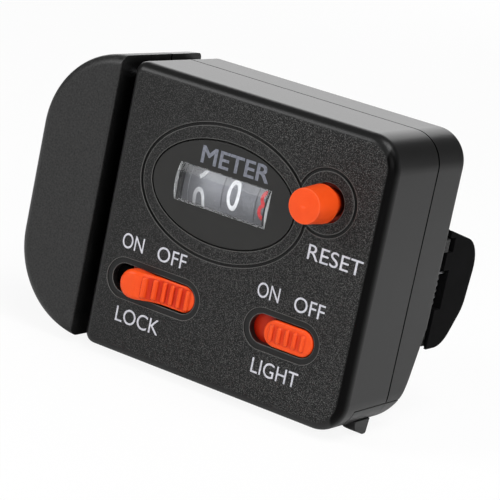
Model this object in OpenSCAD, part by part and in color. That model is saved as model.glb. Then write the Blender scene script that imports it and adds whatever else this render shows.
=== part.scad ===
// Clip-on fishing line counter: two-part case, line guide, measuring wheel,
// gear train, digit wheels, reset bar, two sliders, battery and a sprung rod clip.
// Millimetres. The front faces -Y and +Z is up. The rod's axis is the Z axis.

/* [Case] */
// Window centre from the gap side of the case
window_x = 27.7; // [27:0.1:30]
// Window centre to the button's axis
button_pitch = 24.3; // [24:0.1:27]
// Button's axis to the right side
button_margin = 13.7; // [13:0.1:17]
// Slider row above the bottom
slider_z = 16.6; // [16:0.05:18]
// Window centre above the slider row
window_rise = 24.05; // [23.8:0.05:24.4]
// Window centre to the top
top_margin = 21.6; // [21:0.1:25]
// Depth of the front shell
front_depth = 18.3; // [17.8:0.1:20]
// Wall of both shells
wall = 1.8; // [1.4:0.1:2]
// Thickness of the front face
face_wall = 2; // [1.8:0.1:2.2]
// Corner radius on the right
corner_r = 7; // [6:0.5:9]
// Rounding of the front edges
edge_r = 2.4; // [1.4:0.1:2.6]
// Rounding of the rear edges
rear_edge_r = 1.2; // [0.6:0.1:1.6]
// Height on the rear face where the heel begins to lean forward
heel_top = 24; // [22:0.5:26]
// Height of the heel's bend
heel_bend = 7.3; // [6.5:0.1:8]
// How far the bend lies before the rear face
heel_in = 4.4; // [4:0.1:5]
// How far the bottom ends before the rear face
heel_foot = 9.8; // [9:0.1:10.5]
// Rounding of the bend
heel_r = 15; // [12:0.5:18]
// Depth and width of the reveal along the parting line
reveal = 0.35; // [0.2:0.05:0.5]
// Gap between pieces that are seated in one another
seat = 0.05; // [0.02:0.01:0.1]

/* [Line guide] */
// Width of the line gap
gap_w = 3; // [2.6:0.1:4]
// Width of the D-shaped guide
guide_w = 17.8; // [15:0.2:20]
// Radius of the guide's outer corners
guide_r = 19.2; // [16:0.1:24]
// How much lower the guide's ends are than the case
guide_inset = 0; // [0:0.1:1.5]
// How far the gap's floor stops short of the ends
gap_inset = 1.6; // [1:0.1:2.5]
// Rounding of the guide's edge along the gap
guide_lip = 0.5; // [0.3:0.1:0.8]
// Thickness of the rear cover behind the gap
gap_floor = 5; // [4:0.2:5.4]
// Diameter of the pins that the line runs over
guide_pin_d = 2; // [1.6:0.1:2.4]
// Depth of those pins' axes
guide_pin_y = 7.8; // [7.4:0.1:9]
// Height of those pins from each end of the case
guide_pin_z = 4.5; // [4:0.1:6]

/* [Window] */
// Half width of the smooth oval bezel
bezel_a = 17.5; // [16:0.1:18.5]
// Half height of the smooth oval bezel
bezel_b = 10.6; // [9.5:0.1:11.5]
// Thickness of the bezel
bezel_t = 1; // [0.8:0.1:1.2]
// Width of the shadow gap round the bezel
bezel_gap = 0.4; // [0.2:0.05:0.6]
// Half width of the outer oval groove
ring_a = 20.7; // [19.5:0.1:22]
// Half height of the outer oval groove
ring_b = 14.5; // [13:0.1:15.5]
// Width of the groove
groove_w = 0.7; // [0.4:0.1:1]
// Depth of the groove
groove_d = 0.5; // [0.3:0.1:0.8]
// Width of the lens bar
lens_w = 22.7; // [21.5:0.1:24]
// Height of the lens bar
lens_h = 8.1; // [7:0.1:9]
// How far the lens bulges out of the bezel
lens_bulge = 1; // [0.8:0.1:1.6]

/* [Reset button] */
// Button diameter
button_d = 8.1; // [7.5:0.1:9]
// How much smaller the cap's outer end is, on the radius
button_taper = 0.4; // [0.2:0.05:0.6]
// Gap between the cap and the face
cap_gap = 1.9; // [1.2:0.1:2.4]
// Neck diameter under the cap
neck_d = 6; // [5:0.1:6.6]
// How far the button stands out
button_out = 8.9; // [7:0.1:11]
// Button travel
button_travel = 3; // [2:0.1:3.2]
// Button height above the window centre
button_rise = 5.3; // [4.8:0.1:5.8]
// Radius of the groove round the button
collar_r = 7.15; // [6:0.1:7.6]
// Clearance of moving pieces in their holes and slots
run = 0.15; // [0.1:0.05:0.25]
// Depth of the plate that guides the button's stem
stem_plate_y = 11.6; // [11:0.1:12.4]

/* [Sliders] */
// Height of both slots
slot_h = 6.3; // [5.8:0.1:6.8]
// Width of the smooth sunk band round a slot
rim_w = 1.3; // [0.8:0.1:1.8]
// Depth of the band
rim_d = 0.25; // [0.2:0.05:0.5]
// Lock slot's left end from the gap side
lock_slot_x = 4.8; // [4.6:0.1:6]
// Length of the lock slot
lock_slot_l = 21.4; // [20.8:0.1:23]
// Travel of the lock slider
lock_travel = 2.8; // [2.7:0.1:3]
// Space between the two slots
slot_space = 14; // [13:0.1:15]
// Length of the light slot
light_slot_l = 15.8; // [15:0.1:16.4]
// Travel of the light slider
light_travel = 3.6; // [3:0.1:4]
// Height of a pad's ribs
rib_h = 0.65; // [0.4:0.05:0.75]
// Spacing of a pad's ribs
rib_pitch = 2.15; // [2:0.05:2.3]
// Spacing of the light pad's ribs
light_rib_pitch = 1.95; // [1.8:0.05:2.1]

/* [Line wheel] */
// Outer diameter of the tyre
tyre_d = 17; // [16:0.1:17.4]
// Depth of the tyre's line groove
tyre_groove = 0.55; // [0.3:0.05:0.8]
// Depth of the wheel's axis
wheel_y = 14.5; // [14.2:0.1:15]
// Shaft diameter
shaft_d = 2; // [1.8:0.1:2.2]
// Clearance of a shaft in its hole, on the radius
bearing = 0.04; // [0.02:0.01:0.08]
// Pinch roller diameter
roller_d = 3; // [2.6:0.1:3.2]

/* [Counter] */
// Digit wheel diameter
drum_d = 17; // [16:0.1:17.6]
// Digit wheel width
drum_w = 6.2; // [5.8:0.1:6.4]
// Spacing of the digit wheels
drum_pitch = 8.4; // [8.35:0.05:8.7]
// Depth of the counter's axis
counter_y = 13.5; // [13.2:0.1:14]
// Module of the first gear pair
module_1 = 0.5; // [0.5:0.005:0.52]
// Module of the second gear pair
module_2 = 0.4; // [0.4:0.005:0.42]
// Module of the carry gears
module_3 = 0.7; // [0.68:0.01:0.74]

/* [Rod clip] */
// Rod that the closed clip holds
rod_d = 12; // [10:0.5:13]
// Rod's surface to the rear cover
rod_gap = 1.9; // [1.8:0.1:3]
// Middle of the clip above the bottom
clip_z = 28.15; // [27:0.05:30]
// Rod's axis from the right side
rod_inset = 13.7; // [13:0.1:15]
// Height of the D-shaped claw
claw_h = 26.2; // [24:0.1:28]
// How far the claw's upper edge falls to its rear corner
claw_fall = 4; // [3:0.1:5]
// Height of the claw's lower bend above its lower edge
claw_bend = 8; // [7:0.1:9]
// Rounding of the claw's corners
claw_round = 7; // [5:0.1:7.5]
// Reach of the claw behind the rear cover
claw_reach = 16.8; // [16.4:0.1:18]
// Thickness of the claw's plate
claw_t = 2.5; // [2:0.1:3]
// Hinge pin diameter
hinge_d = 2; // [1.6:0.1:2.2]
// Radius of the hinge knuckles
knuckle_r = 2; // [1.8:0.1:2.1]
// Thickness of the saddle's rubber pad
pad_t = 1; // [0.6:0.1:1.4]
// Wire of the clip's spring
clip_wire = 0.8; // [0.6:0.05:0.85]
// Length of the clip spring's leg in the claw
spring_leg = 5; // [4.5:0.1:5.5]
// Thickness of the saddle beside the rod
saddle_wall = 5.4; // [5:0.1:6]

/* [Battery] */
// Button cell diameter
cell_d = 11.6; // [11:0.1:11.6]
// Button cell thickness
cell_t = 5.4; // [4.8:0.1:5.4]
// Height of the door's seam on the right side
door_h = 5.2; // [4.4:0.1:6]
// How far the door's finger catch stands below the bottom
tab_drop = 1.5; // [1:0.1:2]

/* [Hidden] */
$fn = 48;

// Case
body_w = window_x + button_pitch + button_margin;
body_h = slider_z + window_rise + top_margin;
window_z = slider_z + window_rise;
button_x = window_x + button_pitch;
button_z = window_z + button_rise;
guide_x = -gap_w - guide_w;
guide_h = body_h - 2 * guide_inset;

// Gear train: line wheel to reduction gear to tenths wheel, twenty to one
pinion_teeth = 10;
gear_1_teeth = 40;
gear_2_teeth = 50;
carry_teeth = 20;
carry_pinion_teeth = 8;
addendum = 0.8;
dedendum = 1.15;
pressure = 25;
backlash = 0.07;
centre_1 = module_1 * (pinion_teeth + gear_1_teeth) / 2;
centre_2 = module_2 * (pinion_teeth + gear_2_teeth) / 2;
centre_3 = module_3 * (carry_teeth + carry_pinion_teeth) / 2;
wheel_axis = [wheel_y, slider_z];
counter_axis = [counter_y, window_z];
axis_span = norm(counter_axis - wheel_axis);
span_dir = (counter_axis - wheel_axis) / axis_span;
along_span = (pow(centre_1, 2) - pow(centre_2, 2) + pow(axis_span, 2)) / (2 * axis_span);
off_span = sqrt(max(0, pow(centre_1, 2) - pow(along_span, 2)));
gear_axis = wheel_axis + along_span * span_dir + off_span * [span_dir[1], -span_dir[0]];
mesh_1 = bearing_angle(wheel_axis, gear_axis);
mesh_2 = bearing_angle(gear_axis, counter_axis);
mesh_3 = -50;
pinion_axis = counter_axis + centre_3 * [cos(mesh_3), sin(mesh_3)];

// Depth: the rear wall clears the largest gear
gear_room = 1.3;
gear_1_tip = module_1 * (gear_1_teeth / 2 + addendum);
inner_depth = gear_axis[0] + gear_1_tip + gear_room;
body_depth = inner_depth + wall;
gap_floor_y = body_depth - gap_floor;
heel_tip = [body_depth - heel_in, heel_bend];

// Digit wheels, from left to right
tens_x = window_x - drum_pitch;
units_x = window_x;
tenths_x = window_x + drum_pitch;
drum_rim = 1.4;
drum_web = 1.2;
hub_r = 2.2;
side_gear_w = 0.8;
heart_w = 0.9;
heart_low = 2.7;
heart_high = 5;
carry_finger_r = module_3 * (carry_teeth / 2 - addendum) - 0.15;
drum_gap = drum_pitch - drum_w;
gear_2_x = tenths_x + drum_w / 2 + 0.3;
gear_2_w = 1.6;
gear_1_x = gear_2_x + gear_2_w + 0.4;
gear_1_w = 1.6;

// Counter frame
plate_t = 1.4;
press = 0.02;
left_plate_x = tens_x - drum_w / 2 - heart_w - 0.8 - plate_t;
right_plate_x = gear_1_x + gear_1_w + 1.9;
frame_front = 8;
frame_back = inner_depth - 3;
frame_top = body_h - wall - 1.2;
bridge_t = 1.4;
bracket_x = tenths_x + 0.7;

// Reset bar: the button's stem swings it, the hammers go to the hearts
reset_y = counter_y + 2.7;
reset_z = window_z + 13.6;
reset_r = 2;
stem_r = 2;
stem_plate_t = 1.4;
stem_end = stem_plate_y + stem_plate_t + 1;
bump_r = 1;
bump_y = stem_end + 0.1 + bump_r;
reset_lever = reset_z - button_z;
reset_angle = button_travel / reset_lever * 180 / PI;
hammer_w = 0.7;
hammer_stop = heart_high + 0.3;
hammer_dir = 135;
flange_y = face_wall + 0.2;
flange_t = 1.2;

// Sliders
pad_h = slot_h - 4 * run;
base_y = face_wall + 0.2;
base_t = 1.8;
base_lap = 1.5;
lock_slot_end = lock_slot_x + lock_slot_l;
lock_pad_x = lock_slot_x + lock_travel + run;
lock_pad_end = lock_slot_end - run;
light_slot_x = lock_slot_end + slot_space;
light_slot_end = light_slot_x + light_slot_l;
light_pad_x = light_slot_x + light_travel + run;
light_pad_end = light_slot_end - run;
nose_out = 2.2;
nose_r = 1.2;
scoop_r = 11.4;
scoop_low = 0.2;
scoop_x = lock_pad_end - 5;
rib_l = 2.1;
light_rib_l = 1.6;
light_pad_out = 0.3;
bridge_x = light_slot_x + 6.8;
bridge_y = base_y + base_t;
blade_z = slider_z + slot_h / 2 + base_lap + 0.5;
roller_y = wheel_y - tyre_d / 2 - 0.25 - roller_d / 2;
roller_l = 2.2;
roller_x = -gap_w + 0.4 + lock_travel;
arm_x = roller_x + roller_l + 0.2;
arm_h = 3.4;
arm_t = 2.2;
arm_end = arm_x + 11;

// Line wheel
wheel_w = gap_w - 0.6;
wheel_x = -gap_w / 2;
tyre_t = 1.9;
bush_r = shaft_d / 2 + 0.8;
bush_flange = 0.6;
shaft_start = -gap_w - wall - bush_flange;
shaft_end = right_plate_x + plate_t + bush_flange;

// Screws: two through the frame's tabs, two low down, two for the line guide
screw_r = 1.1;
head_r = 2;
head_t = 1.6;
boss_r = 2.7;
tab_t = 1.4;
high_screw_z = reset_z + 0.5;
left_screw_x = 7.5;
right_screw_x = button_x + 5.5;
low_screw_z = 7.5;
mid_screw_x = window_x + 3.8;
guide_screw_x = -gap_w - 8;
guide_screw_z = 14;
high_seat = screw_seat(high_screw_z);
low_seat = screw_seat(low_screw_z);
screw_l = 12;

// Battery: three cells in a row over the door
cells = 3;
cell_x = right_plate_x - 0.4;
cell_y = 11.8;
cell_z = wall + 0.6 + cell_d / 2;
contact_t = 0.4;
contact_rib = 1.4;
door_x = mid_screw_x + 6.5;
door_y = 5.4;
tab_y = 10;
tab_l = 5.4;
tab_w = 3;
tab_side = 1.9;
door_end = heel_face(door_h);

// Lamp
lamp_r = 1.5;
lamp_y = 6.5;
lamp_z = window_z + 9.6;
strip_t = 0.3;
strip_w = 1;
strip_space = 1.6;
leg_x = left_plate_x - 5.4;

// Rod clip
rod_r = rod_d / 2;
rod_x = body_w - rod_inset;
rod_y = body_depth + rod_gap + rod_r;
spring_r = hinge_d / 2 + 0.2 + clip_wire / 2;
claw_x = body_w - 0.7 - claw_t;
hinge_x = claw_x + claw_t / 2 - spring_r;
hinge_y = body_depth + knuckle_r + 0.3;
claw_top = clip_z + claw_h / 2;
claw_bottom = clip_z - claw_h / 2;
ear_h = 2.8;
ear_gap = 0.2;
ear_top_z = claw_top - 1.8 - ear_h;
ear_low_z = claw_bottom + 0.5;
spring_turns = 5.25;
spring_pitch = clip_wire + 0.55;
spring_l = spring_turns * spring_pitch;
spring_z = clip_z - spring_l / 2;
spring_low = spring_z - clip_wire / 2 - 0.4;
spring_high = spring_z + spring_l + clip_wire / 2 + 0.4;
saddle_x = rod_x - rod_r - pad_t - saddle_wall;
saddle_end = rod_x + saddle_wall;
saddle_h = 23;
saddle_low = clip_z - saddle_h / 2;
saddle_base = 1.5;
claw_pad_h = 16;
clip_screw_x = saddle_x + 3.6;
clip_screw_z = 7;

// Small functions
function bearing_angle(a, b) = atan2(b[1] - a[1], b[0] - a[0]);
function polar(r, a) = [r * cos(a), r * sin(a)];
function inv(a) = tan(a) * 180 / PI - a;
function unit(v) = v / norm(v);
function heel_face(z) = z > heel_bend
  ? body_depth - (heel_top - z) * heel_in / (heel_top - heel_bend)
  : body_depth - heel_in - (heel_bend - z) * (heel_foot - heel_in) / heel_bend;
function screw_seat(z) = min(inner_depth - 1.9, heel_face(z - head_r) - 2.2);

// Outline through corner points, each rounded by its own radius
function corner_arc(a, p, b, r) =
  let (u = unit(a - p), v = unit(b - p), half = acos(u * v) / 2, c = p + r / sin(half) * unit(u + v),
    from = bearing_angle(c, p + r / tan(half) * u), sweep = bearing_angle(c, p + r / tan(half) * v) - from,
    turn = sweep > 180 ? sweep - 360 : sweep < -180 ? sweep + 360 : sweep)
  r == 0 ? [p] : [for (i = [0:8]) c + polar(r, from + turn * i / 8)];
function rounded(pts, radii) = [for (i = [0:len(pts) - 1])
  each corner_arc(pts[(i + len(pts) - 1) % len(pts)], pts[i], pts[(i + 1) % len(pts)], radii[i])];

// Half the angle of a tooth at radius r: involute of the base circle, less the backlash
function half_tooth(n, m, r) =
  let (rp = m * n / 2, rb = rp * cos(pressure))
  90 / n - backlash / 4 / rp * 180 / PI + inv(pressure) - inv(acos(min(1, rb / max(r, rb))));
function flank(n, m) =
  let (rp = m * n / 2, root = rp - dedendum * m, tip = rp + addendum * m, base = max(root, rp * cos(pressure)))
  [root, base, (base + tip) / 2, tip];
function tooth(n, m, a) =
  let (f = flank(n, m))
  concat([for (r = f) polar(r, a - half_tooth(n, m, r))],
    [for (i = [len(f) - 1:-1:0]) polar(f[i], a + half_tooth(n, m, f[i]))]);
function gear_outline(n, m, turn) = [for (i = [0:n - 1]) each tooth(n, m, turn + 360 * i / n)];

// Heart: the radius grows evenly with the angle from the notch, on both sides
function heart_outline(turn) = [for (a = [-180:10:170]) polar(heart_low + (heart_high - heart_low) * abs(a) / 180, a + turn)];

// Rings of a round wire along points; up is never along the wire
function ring(p, t, up, r, sides) =
  let (b = unit(cross(t, up)), n = cross(b, t))
  [for (i = [0:sides - 1]) p + r * cos(360 * i / sides) * b + r * sin(360 * i / sides) * n];
function tangent(pts, i) = unit(pts[min(i + 1, len(pts) - 1)] - pts[max(i - 1, 0)]);
function coil(r, pitch, turns, start) =
  [for (i = [0:turns * 8]) [r * cos(start + i * 45), r * sin(start + i * 45), pitch * i / 8]];
function least_gap(pts, wire) =
  min([for (i = [0:len(pts) - 1]) for (j = [i + 5:1:len(pts) - 1]) norm(pts[i] - pts[j])]) - wire;

// Placing and extruding
module at_rod() translate([-rod_x, -rod_y, -clip_z]) children();
module slab(y0, y1) translate([0, y1, 0]) rotate([90, 0, 0]) linear_extrude(y1 - y0) children();
module along_x(x0, x1) translate([x0, 0, 0]) rotate([90, 0, 90]) linear_extrude(x1 - x0) children();
module along_z(z0, z1) translate([0, 0, z0]) linear_extrude(z1 - z0) children();
module bar_x(axis, r, x0, x1) translate([x0, axis[0], axis[1]]) rotate([0, 90, 0]) cylinder(r = r, h = x1 - x0);
module bar_y(x, z, r, y0, y1) translate([x, y1, z]) rotate([90, 0, 0]) cylinder(r = r, h = y1 - y0);
module bar_z(x, y, r, z0, z1) translate([x, y, z0]) cylinder(r = r, h = z1 - z0);
module box(x0, x1, y0, y1, z0, z1) translate([x0, y0, z0]) cube([x1 - x0, y1 - y0, z1 - z0]);
module area(x0, x1, y0, y1) translate([x0, y0]) square([x1 - x0, y1 - y0]);
module ellipse(a, b) scale([a / b, 1]) circle(b);
module stadium(x0, x1, z, h) {
  area(x0 + h / 2, x1 - h / 2, z - h / 2, z + h / 2);
  translate([x0 + h / 2, z]) circle(h / 2);
  translate([x1 - h / 2, z]) circle(h / 2);
}
module wire(pts, up, r) {
  sides = 6;
  rings = len(pts);
  points = [for (i = [0:rings - 1]) each ring(pts[i], tangent(pts, i), up, r, sides)];
  skin = [for (i = [0:rings - 2]) for (k = [0:sides - 1])
    each let (a = i * sides + k, b = i * sides + (k + 1) % sides)
      [[a, b, b + sides], [a, b + sides, a + sides]]];
  lids = [for (k = [1:sides - 2]) each
    [[0, k + 1, k], [(rings - 1) * sides, (rings - 1) * sides + k, (rings - 1) * sides + k + 1]]];
  polyhedron(points = points, faces = concat(skin, lids));
}

// Outline with left corners rl and right corners rr, drawn in by i
module outline(w, h, rl, rr, i) {
  area(max(rl, i), w - max(rr, i), i, h - i);
  if (rl > i) {
    area(i, rl, rl, h - rl);
    translate([rl, h - rl]) rotate(90) quarter(rl - i);
    translate([rl, rl]) rotate(180) quarter(rl - i);
  }
  if (rr > i) {
    area(w - rr, w - i, rr, h - rr);
    translate([w - rr, h - rr]) quarter(rr - i);
    translate([w - rr, rr]) rotate(270) quarter(rr - i);
  }
}
module quarter(r) intersection() {
  circle(r);
  square(r);
}

// Block that stands on its outline with its upper edge rounded
module rounded_block(w, h, rl, rr, d, er) {
  linear_extrude(d - er) outline(w, h, rl, rr, 0);
  translate([0, 0, d - er]) linear_extrude(er) outline(w, h, rl, rr, er);
  translate([rl, h - er, d - er]) rotate([90, 0, 90]) linear_extrude(w - rl - rr) quarter(er);
  translate([rl, er, d - er]) rotate([90, 0, 90]) linear_extrude(w - rl - rr) mirror([1, 0]) quarter(er);
  translate([w - er, h - rr, d - er]) rotate([90, 0, 0]) linear_extrude(h - 2 * rr) quarter(er);
  translate([er, h - rl, d - er]) rotate([90, 0, 0]) linear_extrude(h - 2 * rl) mirror([1, 0]) quarter(er);
  for (c = [[w - rr, h - rr, 0, rr], [rl, h - rl, 90, rl], [rl, rl, 180, rl], [w - rr, rr, 270, rr]])
    translate([c[0], c[1], d - er]) rotate([0, 0, c[2]]) rotate_extrude(angle = 90) translate([c[3] - er, 0]) quarter(er);
}
module front_block(x, z, w, h, rl, rr)
  translate([x, front_depth, z]) rotate([90, 0, 0]) rounded_block(w, h, rl, rr, front_depth, edge_r);
module rear_block(x, z, w, h, rl, rr)
  translate([x, front_depth, z]) rotate([90, 0, 0]) mirror([0, 0, 1])
    rounded_block(w, h, rl, rr, body_depth - front_depth, rear_edge_r);

// Everything inside the heel's arc, seen from the side
module heel(i) {
  up = unit([heel_in, heel_top - heel_bend]);
  low = unit([heel_foot - heel_in, heel_bend]);
  out_up = [up[1], -up[0]];
  out_low = [low[1], -low[0]];
  c = heel_tip - heel_r * (out_up + out_low) / (1 + out_up * out_low);
  foot = c + (heel_r - i) * out_low;
  bend = c + (heel_r - i) * out_up;
  translate(c) circle(heel_r - i);
  polygon([[-1, (foot - 20 * low)[1]], foot - 20 * low, foot, bend, bend + body_h * up, [-1, (bend + body_h * up)[1]]]);
}
module inside_heel(i) along_x(guide_x - 1, body_w + 1) heel(i);
module case_cavity() intersection() {
  slab(face_wall, inner_depth) outline(body_w, body_h, edge_r, corner_r, wall);
  inside_heel(wall);
}
module guide_outline(i) intersection() {
  translate([guide_x, guide_inset]) outline(2 * guide_r + 1, guide_h, guide_r, guide_r, i);
  area(guide_x - 1, -gap_w - i, -1, body_h + 1);
}
module guide_side() box(guide_x - 1, -gap_w, -1, body_depth + 1, -1, body_h + 1);
module guide_cavity() intersection() {
  slab(face_wall, inner_depth) guide_outline(wall);
  inside_heel(wall);
}
module front_skin() difference() {
  intersection() {
    front_block(0, 0, body_w, body_h, edge_r, corner_r);
    inside_heel(0);
  }
  case_cavity();
}
module rear_skin() difference() {
  intersection() {
    rear_block(0, 0, body_w, body_h, edge_r, corner_r);
    inside_heel(0);
  }
  case_cavity();
}
module door_space(c) box(door_x - c, body_w + 1, door_y - c, door_end + c, -1, door_h + c);

// Front shell
module slot_cut(x0, x1) {
  slab(-1, face_wall + 1) stadium(x0, x1, slider_z, slot_h);
  slab(-1, rim_d) stadium(x0 - rim_w, x1 + rim_w, slider_z, slot_h + 2 * rim_w);
}
module groove_area(i) {
  translate([window_x, window_z]) ellipse(ring_a - i, ring_b - i);
  translate([button_x, button_z]) circle(collar_r - i);
}
module screw_boss(x, z, y1) bar_y(x, z, boss_r, face_wall - 0.2, y1);
module screw_hole(x, z, y1) bar_y(x, z, screw_r, y1 - screw_l, y1 + 20);
module front_shell() color([0.16, 0.16, 0.16]) at_rod() difference() {
  union() {
    difference() {
      front_skin();
      door_space(run);
    }
    for (x = [left_screw_x, right_screw_x]) screw_boss(x, high_screw_z, front_depth - tab_t);
    for (x = [left_screw_x, mid_screw_x]) screw_boss(x, low_screw_z, front_depth);
    for (x = [cell_x - contact_t - contact_rib, cell_x + cells * cell_t + contact_t])
      box(x, x + contact_rib, face_wall - 0.2, cell_y + 5, door_h + 0.6, slider_z - slot_h / 2 - base_lap - 0.4);
  }
  for (x = [left_screw_x, right_screw_x]) screw_hole(x, high_screw_z, high_seat);
  for (x = [left_screw_x, mid_screw_x]) screw_hole(x, low_screw_z, low_seat);
  slab(-1, groove_d) difference() {
    groove_area(0);
    groove_area(groove_w);
  }
  slab(-1, bezel_t + seat) translate([window_x, window_z]) ellipse(bezel_a + seat, bezel_b + seat);
  slab(-1, groove_d) translate([window_x, window_z]) ellipse(bezel_a + bezel_gap, bezel_b + bezel_gap);
  slab(front_depth - reveal, front_depth + 1) difference() {
    area(-1, body_w + 1, -1, body_h + 1);
    outline(body_w, body_h, edge_r, corner_r, reveal);
  }
  box(window_x - lens_w / 2 + 0.8, window_x + lens_w / 2 - 1.2, 0, face_wall + 1,
    window_z - lens_h / 2 + 0.5, window_z + lens_h / 2 - 0.5);
  bar_y(button_x, button_z, button_d / 2 + run, -1, face_wall + 1);
  slot_cut(lock_slot_x, lock_slot_end);
  slot_cut(light_slot_x, light_slot_end);
  box(-1, wall + 1, roller_y - roller_d / 2 - 0.3, roller_y + roller_d / 2 + 0.35,
    slider_z - arm_h / 2 - 0.35, slider_z + arm_h / 2 + 0.35);
  bar_x(wheel_axis, bush_r + press, -1, wall + 1);
  for (z = [guide_pin_z, body_h - guide_pin_z]) bar_x([guide_pin_y, z], guide_pin_d / 2 + press, -1, wall + 1);
}

// Rear cover, with the back of the line guide and the clip's two hinge ears
module ear_area(side, y) {
  translate([hinge_x, hinge_y]) circle(knuckle_r);
  area(hinge_x - knuckle_r, side, y, hinge_y);
}
module rear_boss(x, z, seat_y) intersection() {
  bar_y(x, z, head_r + 1.3, front_depth, body_depth - 0.01);
  inside_heel(0);
}
module seat_cut(x, z, seat_y) bar_y(x, z, head_r + 0.2, seat_y, body_depth + 1);
module rear_cover() color([0.17, 0.17, 0.17]) at_rod() difference() {
  union() {
    difference() {
      rear_skin();
      door_space(run);
    }
    difference() {
      intersection() {
        rear_block(guide_x, guide_inset, 2 * guide_r + 1, guide_h, guide_r, guide_r);
        guide_side();
        inside_heel(0);
      }
      guide_cavity();
    }
    intersection() {
      box(-gap_w - wall / 2, wall / 2, gap_floor_y, body_depth - rear_edge_r, gap_inset, body_h - gap_inset);
      inside_heel(0);
    }
    for (x = [left_screw_x, right_screw_x]) rear_boss(x, high_screw_z, high_seat);
    for (x = [left_screw_x, mid_screw_x]) rear_boss(x, low_screw_z, low_seat);
    for (z = [guide_screw_z, body_h - guide_screw_z]) rear_boss(guide_screw_x, z, screw_seat(z));
    along_z(ear_top_z, ear_top_z + ear_h) ear_area(claw_x + claw_t, inner_depth + 0.3);
    along_z(ear_low_z, ear_low_z + ear_h) ear_area(hinge_x + 1.6, heel_face(ear_low_z) - wall / 2);
    along_x(saddle_x, saddle_end) polygon([[heel_face(saddle_low) - wall / 2, saddle_low], [body_depth, saddle_low],
      [body_depth, heel_top + 1], [inner_depth + wall / 2, heel_top + 1]]);
  }
  for (x = [left_screw_x, right_screw_x]) screw_hole(x, high_screw_z, high_seat);
  for (x = [left_screw_x, right_screw_x]) seat_cut(x, high_screw_z, high_seat);
  for (x = [left_screw_x, mid_screw_x]) screw_hole(x, low_screw_z, low_seat);
  for (x = [left_screw_x, mid_screw_x]) seat_cut(x, low_screw_z, low_seat);
  for (z = [guide_screw_z, body_h - guide_screw_z]) screw_hole(guide_screw_x, z, screw_seat(z));
  for (z = [guide_screw_z, body_h - guide_screw_z]) seat_cut(guide_screw_x, z, screw_seat(z));
  for (z = [clip_z - clip_screw_z, clip_z + clip_screw_z]) {
    bar_y(clip_screw_x, z, screw_r, inner_depth - 1, body_depth + 1);
    bar_y(clip_screw_x, z, head_r + 0.2, inner_depth - 3, inner_depth);
  }
  bar_z(hinge_x, hinge_y, hinge_d / 2 + press, ear_low_z - 1, ear_top_z + ear_h + 1);
}

// Line guide: hollow D-shaped wing across the gap
module line_guide() color([0.17, 0.17, 0.17]) at_rod() difference() {
  union() {
    difference() {
      intersection() {
        front_block(guide_x, guide_inset, 2 * guide_r + 1, guide_h, guide_r, guide_r);
        guide_side();
        inside_heel(0);
      }
      guide_cavity();
    }
    for (z = [guide_screw_z, body_h - guide_screw_z]) screw_boss(guide_screw_x, z, front_depth);
  }
  for (z = [guide_screw_z, body_h - guide_screw_z]) screw_hole(guide_screw_x, z, screw_seat(z));
  bar_x(wheel_axis, bush_r + press, -gap_w - wall - 1, -gap_w + 1);
  for (z = [guide_pin_z, body_h - guide_pin_z])
    bar_x([guide_pin_y, z], guide_pin_d / 2 + press, -gap_w - wall - 1, -gap_w + 1);
  slab(front_depth - reveal, front_depth + 1) difference() {
    area(guide_x - 1, 0, -1, body_h + 1);
    guide_outline(reveal);
  }
  difference() {
    box(-gap_w - guide_lip, -gap_w + 1, -1, guide_lip, -1, body_h + 1);
    bar_z(-gap_w - guide_lip, guide_lip, guide_lip, -2, body_h + 2);
  }
}

// Pan head screws that hold the case and the guide
module screw(x, z, seat_y) {
  bar_y(x, z, screw_r, seat_y - screw_l, seat_y);
  difference() {
    bar_y(x, z, head_r, seat_y, seat_y + head_t);
    box(x - 1.4, x + 1.4, seat_y + head_t - 0.8, seat_y + head_t + 1, z - 0.25, z + 0.25);
    box(x - 0.25, x + 0.25, seat_y + head_t - 0.8, seat_y + head_t + 1, z - 1.4, z + 1.4);
  }
}
module case_screws() color([0.55, 0.56, 0.58]) at_rod() {
  for (x = [left_screw_x, right_screw_x]) screw(x, high_screw_z, high_seat);
  for (x = [left_screw_x, mid_screw_x]) screw(x, low_screw_z, low_seat);
  for (z = [guide_screw_z, body_h - guide_screw_z]) screw(guide_screw_x, z, screw_seat(z));
}

// Smooth oval bezel and the clear lens bar set in it
module window_bezel() color([0.12, 0.12, 0.13]) at_rod() difference() {
  slab(0, bezel_t) translate([window_x, window_z]) ellipse(bezel_a, bezel_b);
  box(window_x - lens_w / 2 - seat, window_x + lens_w / 2 + seat, -1, bezel_t + 1,
    window_z - lens_h / 2 - seat, window_z + lens_h / 2 + seat);
}
module lens() color([0.8, 0.83, 0.85]) at_rod() {
  lens_r = (pow(lens_h / 2, 2) + pow(lens_bulge, 2)) / (2 * lens_bulge);
  along_x(window_x - lens_w / 2, window_x + lens_w / 2) union() {
    area(0, bezel_t, window_z - lens_h / 2, window_z + lens_h / 2);
    intersection() {
      translate([lens_r - lens_bulge, window_z]) circle(lens_r);
      area(-lens_bulge - 1, 0, window_z - lens_h / 2, window_z + lens_h / 2);
    }
  }
}

// Battery door: the lower right corner of the case, with a finger tab
module battery_door() color([0.18, 0.18, 0.18]) at_rod() {
  intersection() {
    union() {
      front_skin();
      rear_skin();
    }
    door_space(0);
  }
  along_x(body_w - tab_side - tab_w, body_w - tab_side) polygon(rounded([[tab_y, wall], [tab_y, 0],
    [tab_y + tab_l - 1.4, -tab_drop], [tab_y + tab_l, -tab_drop], [tab_y + tab_l + 0.5, wall]], [0, 2, 2, 0.6, 0]));
}

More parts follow.
